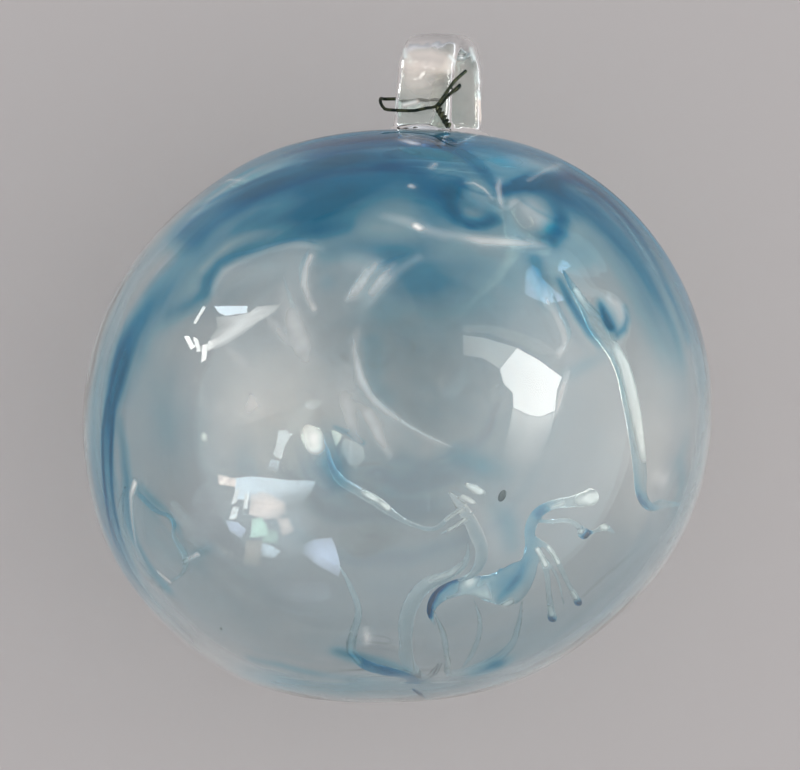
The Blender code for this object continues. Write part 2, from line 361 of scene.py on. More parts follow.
# Colour on the front's outside. A stroke has its width in millimetres, and its route
# over the photo's pixels with the strength at each point. One below zero wipes colour off.
strokes = {
    "blue": {
        "topDeep": (3.8, [
            (258, 186, 0.3), (288, 171, 0.5), (318, 162, 0.8), (350, 160, 0.85), (385, 162, 0.75),
            (412, 168, 0.55), (430, 178, 0.3),
        ]),
        "topMain": (4.4, [
            (196, 220, 0.35), (228, 202, 0.6), (266, 190, 0.7), (310, 186, 0.78), (350, 186, 0.72),
            (385, 186, 0.5), (415, 190, 0.3),
        ]),
        "topFill": (4.0, [
            (208, 236, 0.2), (240, 224, 0.28), (285, 212, 0.2), (330, 206, 0.2), (370, 204, 0.1),
        ]),
        "topRim": (2.4, [
            (262, 168, 0.15), (296, 152, 0.45), (325, 145, 0.6), (360, 140, 0.65), (400, 139, 0.65),
            (440, 142, 0.6), (470, 146, 0.5), (510, 153, 0.4),
        ]),
        "topDarkLine": (1.5, [
            (408, 137, 0.5), (430, 140, 0.7), (447, 145, 0.75), (461, 152, 0.85), (473, 160, 0.95),
            (482, 169, 0.85), (491, 181, 0.45), (496, 187, 0.3),
        ]),
        "topMiddle": (3.0, [(400, 152, 0.06), (432, 152, 0.12), (456, 164, 0.15)]),
        "paleEdge": (1.3, [
            (190, 205, -0.1), (218, 187, -0.2), (245, 174, -0.25), (270, 163, -0.2), (290, 155, -0.1),
        ]),
        "darkEdge": (0.9, [
            (187, 214, 0.2), (203, 206, 0.35), (217, 198, 0.4), (243, 186, 0.4), (267, 176, 0.35),
            (292, 167, 0.25),
        ]),
        "tealSide": (3.4, [
            (176, 228, 0.25), (192, 240, 0.25), (198, 256, 0.18), (178, 274, 0.16), (152, 296, 0.1),
        ]),
        "underEdge": (1.7, [
            (345, 228, 0.25), (318, 233, 0.38), (290, 239, 0.35), (262, 246, 0.35), (238, 254, 0.4),
            (219, 264, 0.42), (209, 278, 0.45), (205, 293, 0.4), (192, 304, 0.3), (170, 314, 0.2),
        ]),
        "underFill": (3.2, [
            (225, 240, 0.15), (258, 224, 0.4), (305, 219, 0.42), (340, 216, 0.3), (375, 213, 0.12),
            (425, 222, 0.12),
        ]),
        "underPale": (0.8, [(203, 268, -0.1), (230, 244, -0.12), (262, 231, -0.08), (280, 225, -0.05)]),
        "rightOfLobe": (2.6, [(330, 250, 0.25), (360, 246, 0.3), (390, 250, 0.3), (415, 246, 0.2)]),
        "leftBend": (4.0, [
            (190, 280, 0.1), (168, 298, 0.26), (147, 314, 0.38), (134, 332, 0.6), (124, 352, 0.75),
            (118, 372, 0.6),
        ]),
        "bendFill": (4.5, [(174, 303, 0.14), (155, 325, 0.15), (145, 345, 0.12)]),
        "leftBand": (2.0, [
            (121, 362, 0.5), (114, 388, 0.8), (109, 412, 0.85), (107, 440, 0.55), (108, 480, 0.4),
            (113, 525, 0.3), (126, 565, 0.2),
        ]),
        "leftLines": (0.6, [
            (108, 402, 0.5), (103, 430, 0.75), (103, 458, 0.7), (105, 490, 0.7), (109, 520, 0.5),
            (116, 545, 0.3),
        ]),
        "leftLinesInner": (0.6, [
            (113, 405, 0.5), (112, 432, 0.6), (111, 470, 0.55), (113, 500, 0.5), (119, 530, 0.3),
        ]),
        "leftInside": (1.5, [
            (120, 425, 0.15), (124, 450, 0.25), (127, 480, 0.3), (128, 510, 0.3), (134, 540, 0.28),
            (148, 566, 0.28), (166, 588, 0.25),
        ]),
        "patchShade": (1.4, [(241, 452, 0.08), (243, 468, 0.1)]),
        "knotBlue": (1.6, [(323, 440, 0.1), (328, 452, 0.2), (332, 466, 0.3), (338, 480, 0.2)]),
        "knotLine": (0.35, [(335, 427, 0.15), (350, 434, 0.3), (363, 443, 0.25)]),
        "rimLeft": (2.6, [
            (152, 250, 0.15), (125, 292, 0.15), (107, 335, 0.2), (96, 380, 0.22), (92, 430, 0.25),
            (95, 480, 0.3), (104, 525, 0.35), (124, 572, 0.35), (350, 702, 0.2),
        ]),
        "bottomLine": (1.2, [(252, 659, 0.2), (280, 665, 0.32), (313, 673, 0.3), (345, 677, 0.15)]),
        "bottomWedge": (1.4, [
            (340, 652, 0.3), (352, 656, 0.45), (366, 660, 0.5), (388, 665, 0.3), (404, 671, 0.25),
        ]),
        "bottomSoft": (4.0, [
            (250, 680, 0.15), (300, 688, 0.25), (360, 692, 0.25), (430, 694, 0.22), (500, 685, 0.2),
            (550, 665, 0.15),
        ]),
        "bottomSmear": (2.2, [(478, 672, 0.2), (495, 665, 0.4)]),
        "rightSmear": (2.2, [(686, 440, 0.12), (680, 462, 0.22), (682, 485, 0.18), (676, 505, 0.1)]),
        "shoulder": (5.6, [
            (560, 190, 0.8), (590, 205, 0.82), (615, 230, 0.62), (640, 268, 0.52), (655, 305, 0.49),
            (670, 345, 0.34), (680, 385, 0.14),
        ]),
        "shoulderEdge": (1.8, [
            (530, 184, 0.65), (550, 177, 0.85), (574, 178, 0.9), (600, 193, 0.8), (622, 214, 0.6),
            (648, 250, 0.5), (670, 292, 0.45), (686, 335, 0.25),
        ]),
        "betweenBowls": (4.5, [
            (505, 225, 0.18), (530, 250, 0.2), (560, 252, 0.22), (590, 250, 0.2), (610, 262, 0.1),
        ]),
        "wedge": (1.3, [(505, 190, 0.7), (514, 187, 1.0), (523, 185, 0.8)]),
        "wedgeSpike": (0.5, [(514, 182, 0.5), (527, 177, 0.6)]),
        "wedgePale": (0.6, [(532, 177, -0.3), (546, 169, -0.3), (564, 163, -0.2)]),
        "bowlShade": (3.4, [(424, 192, 0.2), (432, 212, 0.25), (446, 228, 0.25)]),
        "bowlFill": (3.4, [(462, 194, 0.32), (474, 202, 0.36), (484, 207, 0.3)]),
        "bowlRing": (2.0, [(456, 182, 0.25), (449, 196, 0.4), (451, 210, 0.35)]),
        "leftBowl": (1.3, [
            (452, 208, 0.35), (458, 219, 0.55), (470, 224, 0.6), (482, 225, 0.6), (493, 221, 0.35),
        ]),
        "rightBowl": (1.5, [
            (538, 238, 0.2), (550, 240, 0.4), (559, 231, 0.5), (562, 219, 0.4), (556, 208, 0.15),
        ]),
        "bubbleTop": (4.4, [
            (384, 294, 0.2), (402, 278, 0.42), (432, 278, 0.48), (470, 272, 0.3), (500, 276, 0.12),
        ]),
        "bubbleTeal": (1.6, [(536, 262, 0.2), (543, 282, 0.22), (547, 300, 0.15)]),
        "bubbleShade": (11.0, [(410, 330, 0.13), (455, 325, 0.14), (450, 380, 0.12), (430, 400, 0.10)]),
        "bubbleLeft": (1.8, [(372, 346, 0.2), (373, 384, 0.2), (384, 398, 0.12)]),
        "navel": (0.9, [(601, 306, 0.3), (606, 317, 0.7), (610, 326, 0.8)]),
        "navelWide": (1.8, [(602, 312, 0.2), (608, 322, 0.25)]),
        "navelRing": (0.6, [(625, 308, 0.25), (627, 319, 0.35), (624, 329, 0.4), (617, 336, 0.3)]),
        "threadShade": (0.85, [
            (560, 281, 0.3), (569, 300, 0.55), (579, 317, 0.6), (589, 333, 0.5), (598, 344, 0.25),
        ]),
        "foldTeal": (0.9, [
            (142, 487, 0.12), (152, 500, 0.22), (166, 511, 0.15), (177, 526, 0.18), (182, 540, 0.08),
        ]),
        "creaseTeal": (1.2, [(566, 376, 0.08), (584, 366, 0.12), (602, 356, 0.1)]),
        "middleTeal": (2.0, [(460, 456, 0.15), (482, 464, 0.25), (505, 474, 0.1)]),
        "neckTeal": (1.8, [(498, 508, 0.08), (509, 524, 0.15), (512, 544, 0.12)]),
        "leftCloud": (6.0, [(160, 390, 0.12), (170, 420, 0.1)]),
        "lowLeft": (9.0, [(200, 600, 0.08), (260, 630, 0.07), (330, 620, 0.05)]),
        "lowRight": (9.0, [(540, 645, 0.12), (600, 615, 0.14), (640, 560, 0.12)]),
    },
    "teal": {
        "blueBright": (5.2, [(488, 152, 0.5), (498, 160, 0.85), (505, 170, 0.55)]),
        "darkLineTeal": (1.1, [(458, 150, -0.3), (470, 157, -0.5), (480, 166, -0.5), (489, 178, -0.3)]),
        "sideTeal": (3.2, [
            (200, 255, 0.35), (180, 268, 0.4), (155, 295, 0.55), (140, 318, 0.6), (130, 335, 0.35),
        ]),
        "bandTeal": (4.5, [(240, 205, 0.25), (290, 195, 0.15), (400, 175, 0.15)]),
        "leftTeal": (2.4, [
            (150, 305, 0.15), (134, 325, 0.3), (120, 355, 0.4), (110, 400, 0.45), (107, 450, 0.25),
        ]),
        "tealTop": (3.4, [(395, 152, 0.5), (420, 152, 1.2), (445, 158, 1.0), (458, 166, 0.6)]),
        "blueBrightWide": (3.4, [(510, 160, 0.15), (524, 162, 0.35), (550, 168, 0.45)]),
        "bowlTeal": (2.4, [(428, 178, 0.4), (434, 198, 0.8), (440, 214, 0.5)]),
        "leftBowlBright": (1.2, [(461, 214, 0.6), (470, 219, 1.0), (480, 220, 1.0), (490, 217, 0.6)]),
        "rightBowlBright": (1.5, [(543, 233, 0.7), (551, 231, 1.1), (556, 221, 0.8), (553, 213, 0.4)]),
        "pureBlue": (1.6, [(300, 230, 0.2), (318, 231, 0.4), (338, 228, 0.2)]),
        "lobeTeal": (1.6, [(322, 272, 0.15), (328, 281, 0.4), (340, 276, 0.15)]),
        "lobeTint": (3.6, [(232, 288, 0.25), (262, 268, 0.4), (296, 262, 0.4), (298, 286, 0.2)]),
        "topTeal": (4.0, [(205, 235, 0.4), (225, 218, 0.3), (250, 205, 0.15), (300, 200, 0.08)]),
        "edgeTeal": (3.0, [
            (160, 245, 0.2), (172, 232, 0.4), (186, 217, 0.6), (203, 201, 0.8), (225, 184, 1.0),
            (250, 170, 1.1), (280, 157, 0.5),
        ]),
        "knotTeal": (2.4, [(324, 444, 0.2), (330, 464, 0.6), (338, 482, 0.35)]),
        # cyan tint of the painted glints on the left fold
        "foldGlintTeal": (0.8, [(135, 484, 0.5), (190, 558, 0.1), (200, 552, 0.4), (210, 548, 0.2)]),
        "foldInside": (3.0, [(148, 505, 0.25), (152, 535, 0.3), (170, 555, 0.3), (195, 560, 0.3)]),
    },
    "body": {
        "bandBody": (3.6, [
            (205, 228, 0.12), (240, 205, 0.2), (290, 190, 0.15), (340, 185, 0.12), (400, 175, 0.15),
        ]),
        "leftBody": (1.5, [
            (146, 318, 0.12), (126, 350, 0.3), (113, 392, 0.35), (107, 430, 0.2), (108, 480, 0.1),
        ]),
        "wedgeBody": (5.0, [(490, 154, 0.35), (499, 160, 0.6), (505, 170, 0.35)]),
        "darkLineBody": (1.3, [(449, 147, 0.1), (461, 152, 0.25), (473, 160, 0.3), (482, 169, 0.15)]),
    },
    # White frost: pale milky veils in the glass, and painted highlights, glints and reflections of the
    # window.
    "milk": {
        "pinch": (0.45, [(500, 179, 0.15), (498, 188, 0.28), (500, 200, 0.28), (503, 209, 0.1)]),
        "pinchFoot": (0.45, [(509, 208, 0.1), (512, 203, 0.18), (516, 200, 0.1)]),
        # painted highlight: the bright middle of the far side's mirrored window blob
        "farBlobPaintedGlint": (1.1, [(308, 431, 0.3), (313, 437, 0.8), (315, 445, 0.6)]),
        "edgeVeil": (1.0, [(181, 228, 0.05), (203, 206, 0.08), (228, 186, 0.1), (258, 170, 0.06)]),
        "creamLens": (0.5, [(366, 628, 0.15), (367, 636, 0.4), (367, 645, 0.15)]),
        "neckVeil": (2.0, [(462, 497, 0.08), (478, 515, 0.08), (492, 535, 0.08), (497, 553, 0.05)]),
        "navelDome": (0.7, [(609, 300, 0.1), (617, 304, 0.2), (622, 311, 0.2), (622, 320, 0.1)]),
        "pinkLens": (0.8, [
            (440, 231, 0.06), (460, 237, 0.2), (482, 241, 0.36), (503, 242, 0.44), (523, 243, 0.36),
            (544, 245, 0.1),
        ]),
        "bowlArc": (0.3, [(464, 183, 0.05), (474, 183, 0.25), (484, 189, 0.3), (492, 198, 0.15)]),
        "bowlGrey": (1.6, [(474, 198, 0.05), (482, 205, 0.04)]),
        "bowlGreyRight": (2.0, [(530, 208, 0.12), (538, 216, 0.08)]),
        "aboveWedge": (0.35, [(528, 181, 0.12), (545, 171, 0.2), (562, 164, 0.15)]),
        "patchPale": (2.4, [(518, 160, 0.08), (532, 162, 0.1), (550, 166, 0.08)]),
        "lobe": (2.6, [(228, 282, 0.08), (258, 270, 0.14), (290, 262, 0.14), (300, 285, 0.08)]),
        "lobeRight": (0.5, [
            (311, 256, 0.4), (306, 268, 0.3), (304, 284, 0.3), (309, 300, 0.25), (314, 309, 0.35),
        ]),
        "lobeEdge": (0.5, [
            (213, 303, 0.08), (215, 286, 0.15), (224, 271, 0.16), (243, 261, 0.12), (260, 254, 0.12),
            (280, 247, 0.14), (300, 245, 0.15), (322, 249, 0.08),
        ]),
        "fan": (0.7, [
            (418, 258, 0.1), (397, 271, 0.14), (384, 283, 0.14), (373, 298, 0.12), (364, 310, 0.05),
        ]),
        "fanWide": (1.8, [(352, 262, 0.08), (372, 266, 0.14), (380, 278, 0.14), (362, 296, 0.12)]),
        "fanLine": (0.4, [(366, 270, 0.15), (353, 290, 0.3), (347, 300, 0.15)]),
        "fanTwo": (0.45, [(376, 264, 0.12), (364, 281, 0.25), (354, 298, 0.12)]),
        "fanThree": (0.4, [(394, 264, 0.12), (381, 278, 0.22), (370, 293, 0.12)]),
        "veilOne": (1.6, [(284, 292, 0.1), (293, 318, 0.26), (302, 346, 0.2), (305, 356, 0.1)]),
        "veilTwo": (0.7, [(268, 316, 0.1), (278, 330, 0.14), (287, 345, 0.06)]),
        "veilThree": (0.6, [(226, 347, 0.12), (245, 366, 0.1)]),
        # painted reflection: the broad warm glow where the far side mirrors the window
        "glow": (10.0, [
            (215, 385, 0.1), (250, 400, 0.24), (300, 395, 0.2), (330, 400, 0.16), (250, 450, 0.14),
        ]),
        "bubbleArc": (0.5, [
            (357, 330, 0.08), (354, 350, 0.15), (361, 378, 0.22), (370, 396, 0.25), (385, 410, 0.2),
            (407, 425, 0.15), (428, 438, 0.15), (448, 446, 0.08),
        ]),
        "bubbleOutside": (1.6, [
            (350, 372, 0.08), (360, 402, 0.14), (378, 420, 0.14), (400, 436, 0.1), (425, 450, 0.08),
        ]),
        "outsideVeil": (1.2, [(340, 388, 0.08), (350, 420, 0.16), (358, 440, 0.1)]),
        "arcTwo": (0.8, [(368, 415, 0.1), (378, 436, 0.18), (390, 454, 0.12)]),
        "bubbleRight": (0.45, [
            (552, 309, 0.12), (558, 320, 0.2), (564, 334, 0.2), (565, 345, 0.2), (559, 355, 0.2),
        ]),
        "tealSpot": (0.8, [(546, 292, 0.1), (548, 303, 0.25)]),
        # painted reflection: soft haze of mirrored window light on the right and in the middle
        "rightPaintedGlow": (11.0, [(600, 400, 0.05), (640, 440, 0.14), (660, 410, 0.14), (650, 460, 0.1)]),
        "middlePaintedGlow": (8.0, [(490, 400, 0.1), (440, 470, 0.05), (400, 480, 0.05)]),
        "paleSpot": (1.2, [(655, 476, 0.12), (665, 480, 0.15)]),
        # painted highlights: a glint along the crease and small glints
        "creaseGlint": (0.4, [(568, 372, 0.15), (562, 390, 0.3), (558, 407, 0.3), (553, 420, 0.1)]),
        "rimGlint": (0.5, [(224, 183, 0.15), (228, 180, 0.3), (246, 181, 0.15)]),
        "topGlow": (0.7, [(398, 139, 0.1), (413, 143, 0.6), (422, 145, 0.1)]),
        "glintOne": (0.45, [(416, 226, 0.9), (419, 228, 0.8)]),
        "glintTwo": (0.45, [(411, 186, 0.5), (413, 187, 0.3)]),
        "glintThree": (0.5, [(431, 168, 0.2), (435, 164, 0.25)]),
        "glowLine": (0.9, [(385, 216, 0.08), (405, 221, 0.2), (425, 229, 0.2), (444, 236, 0.12)]),
        # painted highlights: the white line down the left fold, brightest at its top, and glints on its lower
        # side and foot
        "foldLine": (0.45, [
            (135, 483, 0.9), (131, 495, 0.45), (132, 520, 0.3), (136, 545, 0.2), (146, 566, 0.15),
        ]),
        "foldGlint": (0.35, [(188, 559, 0.25), (198, 554, 0.4)]),
        "foldFoot": (0.4, [(158, 572, 0.3), (170, 582, 0.4)]),
    },
    # Painted shade: a dark frost that darkens the lower part, the bottom rim, the middle, the bubble and the
    # neck.
    "smoke": {
        "lowShade": (11.0, [
            (170, 520, 0.08), (230, 600, 0.08), (320, 660, 0.12), (420, 660, 0.13), (520, 640, 0.12),
            (600, 590, 0.08),
        ]),
        "bottomShade": (4.0, [(320, 697, 0.22), (400, 699, 0.22), (470, 690, 0.16)]),
        "midShade": (8.0, [(300, 320, 0.15), (345, 350, 0.08)]),
        "bubblePaintedShade": (9.0, [(430, 300, 0.12), (480, 300, 0.16), (470, 370, 0.16), (410, 350, 0.13)]),
        "neckPaintedShade": (2.5, [(462, 500, 0.1), (470, 530, 0.15), (478, 560, 0.1)]),
    },
}

# Colour round the ball's rim, by clock angle and strength.
rimStrokes = {
    "blue": {
        "topRimEdge": (5.0, [
            (-48, 0.15), (-36, 0.3), (-24, 0.45), (-12, 0.62), (0, 0.58), (12, 0.52), (24, 0.5), (36, 0.55),
            (48, 0.5), (60, 0.45), (72, 0.33), (80, 0.15),
        ]),
        "rimEdge": (5.0, [
            (-60, 0.15), (-72, 0.15), (-84, 0.12), (-96, 0.15), (-108, 0.15), (-120, 0.12), (-132, 0.08),
        ]),
        "rimRight": (5.0, [(72, 0.1), (84, 0.12), (96, 0.12), (108, 0.12), (120, 0.08), (132, 0.05)]),
    },
    "body": {
        "topBody": (4.2, [
            (-48, 0.05), (-36, 0.2), (-30, 0.3), (-24, 0.4), (-12, 0.6), (-3, 0.45), (3, 0.32), (9, 0.32),
            (12, 0.4), (17, 0.35), (24, 0.3), (32, 0.4), (36, 0.6), (48, 0.6), (60, 0.45), (72, 0.25),
            (80, 0.08),
        ]),
    },
    "milk": {
        # painted reflection: a pale sheen all round the rim
        "rimPaintedSheen": (5.5, [
            (-48, 0.12), (-60, 0.15), (-72, 0.22), (-84, 0.25), (-96, 0.25), (-108, 0.22), (-120, 0.2),
            (-132, 0.2), (-144, 0.2), (-156, 0.2), (-168, 0.2), (-180, 0.2), (-192, 0.2), (-204, 0.2),
            (-216, 0.18), (-228, 0.18), (-240, 0.18), (-252, 0.2), (-264, 0.2), (-276, 0.18), (-288, 0.1),
        ]),
    },
}

# Plainer colour round the hidden sides, by turn from the loop, rise from level and strength.
hiddenStrokes = {
    "blue": {
        "underBand": (4.0, [
            (-70, -8, 0.3), (-45, -14, 0.45), (-15, -16, 0.5), (15, -15, 0.45), (45, -11, 0.4), (70, -4, 0.2),
        ]),
        "sideBand": (2.0, [(-80, -5, 0.4), (-95, -6, 0.4), (-115, -6, 0.25), (-135, -5, 0.1)]),
    },
    "teal": {"underTeal": (3.0, [(-40, -12, 0.3), (0, -16, 0.3)])},
    "milk": {"underVeil": (0.9, [(-30, -50, 0.05), (0, -56, 0.08), (40, -50, 0.05)])},
}


# How near each point is to a route: 1 on it and fading across its width, times the strength there.
def strokeWeights(place, route, strengths, width):
    nearest, strength = np.full(len(place), np.inf), np.zeros(len(place))
    for start, end, first, last in zip(route, route[1:], strengths, strengths[1:]):
        start, end = np.array(start), np.array(end)
        run = end - start
        share = np.clip((place - start) @ run / (run @ run), 0, 1)
        away = np.linalg.norm(place - start - share[:, None] * run, axis=1)
        strength = np.where(away < nearest, first + (last - first) * share, strength)
        nearest = np.minimum(nearest, away)
    return np.exp(-((nearest / (width * mm)) ** 2)) * strength


# Every stroke of a colour on the ball: its width, and its spots with the strength at each.
def ballStrokes(colour):
    for width, route in strokes[colour].values():
        yield width, [(wallAt(across, down, 0), strength) for across, down, strength in route]
    for width, route in rimStrokes.get(colour, {}).values():
        yield width, [(onRim(clock), strength) for clock, strength in route]
    for width, route in hiddenStrokes.get(colour, {}).values():
        yield width, [(skinAt(turn, rise), strength) for turn, rise, strength in route]


def paintBall():
    place = points(shell)
    for colour in strokes:
        amount = np.zeros(len(place))
        for width, route in ballStrokes(colour):
            amount += strokeWeights(place, *zip(*route), width) * (1 - onInside)
        storeAmount(shell, colour, amount)


paintBall()

# How the glass goes from its palest to its deepest blue.
blueStops = [
    (0.0, (0.93, 0.985, 0.99, 1)),
    (0.25, (0.31, 0.72, 0.90, 1)),
    (0.5, (0.03, 0.32, 0.60, 1)),
    (0.75, (0.001, 0.13, 0.37, 1)),
    (1.0, (0.001, 0.07, 0.20, 1)),
]
tealTint = (0.03, 0.68, 0.94, 1)
# the white frost of milky veils and painted highlights
milkAndGlintTint = (0.95, 0.91, 0.85, 1)
bodyTint = (0.06, 0.24, 0.36, 1)
brightBody = (0.06, 0.36, 0.55, 1)
# the dark frost of painted shade
paintedShadeTint = (0.03, 0.045, 0.05, 1)


# A frosted shader mixed over another by a varying share.
def frost(start, under, tint, share):
    finish = {"Base Color": tint, "Roughness": 0.5, "Specular IOR Level": 0.1}
    frosted = start.node("ShaderNodeBsdfPrincipled", {}, finish)
    return start.node("ShaderNodeMixShader", {}, {0: share, 1: under, 2: frosted})


def show(material, mixed):
    mixed.tree.links.new(mixed.socket, material.node_tree.nodes["Material Output"].inputs["Surface"])


# The painted colours, mottled by the cloud, on a glass shader, with a dark frost of painted shade and a white
# frost of milky veils and painted highlights and reflections laid over it.
def colourGlass(material, shader, start, place, mottle, faint):
    blue, teal, body, milk, smoke = [painted(start, colour) for colour in strokes]
    deep = start.node("ShaderNodeValToRGB", {"stops": blueStops}, {"Fac": blue * mottle + faint})
    bright = (teal * mottle).blend((1, 1, 1, 1), tealTint)
    both = {0: 1.0, 6: deep, 7: bright}
    tinted = start.node("ShaderNodeMix", {"data_type": "RGBA", "blend_type": "MULTIPLY"}, both, 2)
    feed(shader, "Base Color", tinted)
    wisp = start.node("ShaderNodeTexNoise", {}, {"Vector": place, "Scale": 160.0, "Detail": 3.0})
    glass = Sum(material.node_tree, shader.outputs["BSDF"])
    solid = frost(start, glass, (0.7 * teal).blend(bodyTint, brightBody), body * (0.7 + 0.6 * wisp))
    # dark frost of painted shade
    withPaintedShade = frost(start, solid, paintedShadeTint, smoke * (0.5 + wisp))
    # white frost on top: milky veils, and painted highlights and reflections
    show(material, frost(start, withPaintedShade, milkAndGlintTint, milk * (0.5 + wisp)))


ballLook = {"IOR": 1.5, "Transmission Weight": 1.0, "Specular IOR Level": 0.28}


def blueGlass():
    material, shader, start, place = newMaterial("blueGlass", 0.0, ballLook)
    # streaks that run round the ball, level as it lies
    level = start.node("ShaderNodeMapping", {}, {"Vector": place, "Scale": (30.0, 30.0, 150.0)})
    drawnOut = {"Vector": level, "Scale": 1.0, "Detail": 3.0, "Distortion": 0.4}
    streak = start.node("ShaderNodeTexNoise", {}, drawnOut)
    cloud = start.node("ShaderNodeTexNoise", {}, {"Vector": place, "Scale": 38.0, "Detail": 3.0})
    mottle = 0.62 + 0.42 * streak.between(0.3, 0.7) + 0.34 * cloud.between(0.3, 0.7)
    colourGlass(material, shader, start, place, mottle, 0.018 + 0.05 * cloud.between(0.45, 0.7))
    return material


# The inner skin has no colour painted on.
def innerGlass():
    material, shader, start, place = newMaterial("innerGlass", 0.0, ballLook)
    cloud = start.node("ShaderNodeTexNoise", {}, {"Vector": place, "Scale": 38.0, "Detail": 3.0})
    feed(shader, "Base Color", cloud.between(0.35, 0.65).blend((0.92, 0.96, 0.965, 1), (0.96, 0.98, 0.98, 1)))
    return material


shell.data.materials.append(blueGlass())
shell.data.materials.append(innerGlass())
for face in shell.data.polygons:
    face.material_index = int(onInside[face.vertices[0]] > 0.5)
finishPiece(shell, ["glass_globe"])
print("ball painted")


# A strand of glass on a smooth route, with its width at each point, flattened by spread.
def drawStrand(route, widths, spread=0.0):
    bpy.ops.curve.primitive_bezier_curve_add(location=(0, 0, 0))
    strand = bpy.context.object
    spline = strand.data.splines[0]
    spline.bezier_points.add(len(route) - 2)
    for point, spot, width in zip(spline.bezier_points, route, widths):
        point.co = spot
        point.handle_left_type = point.handle_right_type = "AUTO"
        point.radius = width / 2
        point.tilt = math.radians(90)
    strand.data.twist_mode = "Z_UP"
    strand.data.bevel_depth = 1 * mm
    strand.data.bevel_resolution = 4
    strand.data.extrude = spread * mm
    strand.data.resolution_u = 10
    strand.data.use_fill_caps = True
    bpy.ops.object.convert(target="MESH")
    return bpy.context.object


def drawBead(spot, size):
    bpy.ops.mesh.primitive_uv_sphere_add(segments=24, ring_count=14, radius=size / 2 * mm, location=spot)
    return bpy.context.object


# The parts flow together into one piece of glass.
def fuse(name, parts, grain, smoothing):
    bpy.ops.object.select_all(action="DESELECT")
    for part in parts:
        part.select_set(True)
    bpy.context.view_layer.objects.active = parts[0]
    if len(parts) > 1:
        bpy.ops.object.join()
    piece = bpy.context.object
    piece.name = name
    bpy.ops.object.transform_apply(location=True, rotation=True, scale=True)
    melt = piece.modifiers.new("melt", "REMESH")
    melt.mode = "VOXEL"
    melt.voxel_size = grain * mm
    soften = piece.modifiers.new("soften", "SMOOTH")
    soften.iterations = smoothing
    applyAll(piece)
    return piece


# The colours in a piece, by strokes over the photo's pixels at any depth. spotAt places a pixel.
def paintSeen(piece, drawn, bases, spotAt):
    place = points(piece)
    place[:, 2] = 0
    for colour, base in bases.items():
        amount = np.full(len(place), base)
        for width, route in drawn.get(colour, []):
            spots = [spotAt(across, down).to_2d().to_3d() for across, down, strength in route]
            amount += strokeWeights(place, spots, [strength for *_, strength in route], width)
        storeAmount(piece, colour, np.clip(amount, 0, None))


def strandGlass():
    look = {"IOR": 1.2, "Transmission Weight": 1.0, "Specular IOR Level": 1.0}
    material, shader, start, place = newMaterial("strandGlass", 0.0, look)
    cloud = start.node("ShaderNodeTexNoise", {}, {"Vector": place, "Scale": 220.0, "Detail": 2.0})
    colourGlass(material, shader, start, place, 0.5 + cloud, 0.03 * cloud)
    return material


strandBase = {"blue": 0.02, "teal": 0.0, "body": 0.0, "smoke": 0.0, "milk": 0.1}
clearStrand = strandGlass()

clearance = 0.05  # between a strand and the wall, in millimetres


# A strand by photo pixel across and down, depth inside the front wall and width, in millimetres.
def drawSeen(route, spread=0.0):
    spots, widths = [], []
    for across, down, deeper, width in route:
        widths.append(width / (1 + spread))
        spots.append(wallAt(across, down, 1, deeper + widths[-1] / 2 + clearance))
    return drawStrand(spots, widths, spread)


def finishStrand(name, parts, colours, grain=0.22, smoothing=5):
    piece = fuse(name, parts, grain, smoothing)
    paintSeen(piece, colours, strandBase, lambda across, down: wallAt(across, down, 1))
    piece.data.materials.append(clearStrand)
    finishPiece(piece)


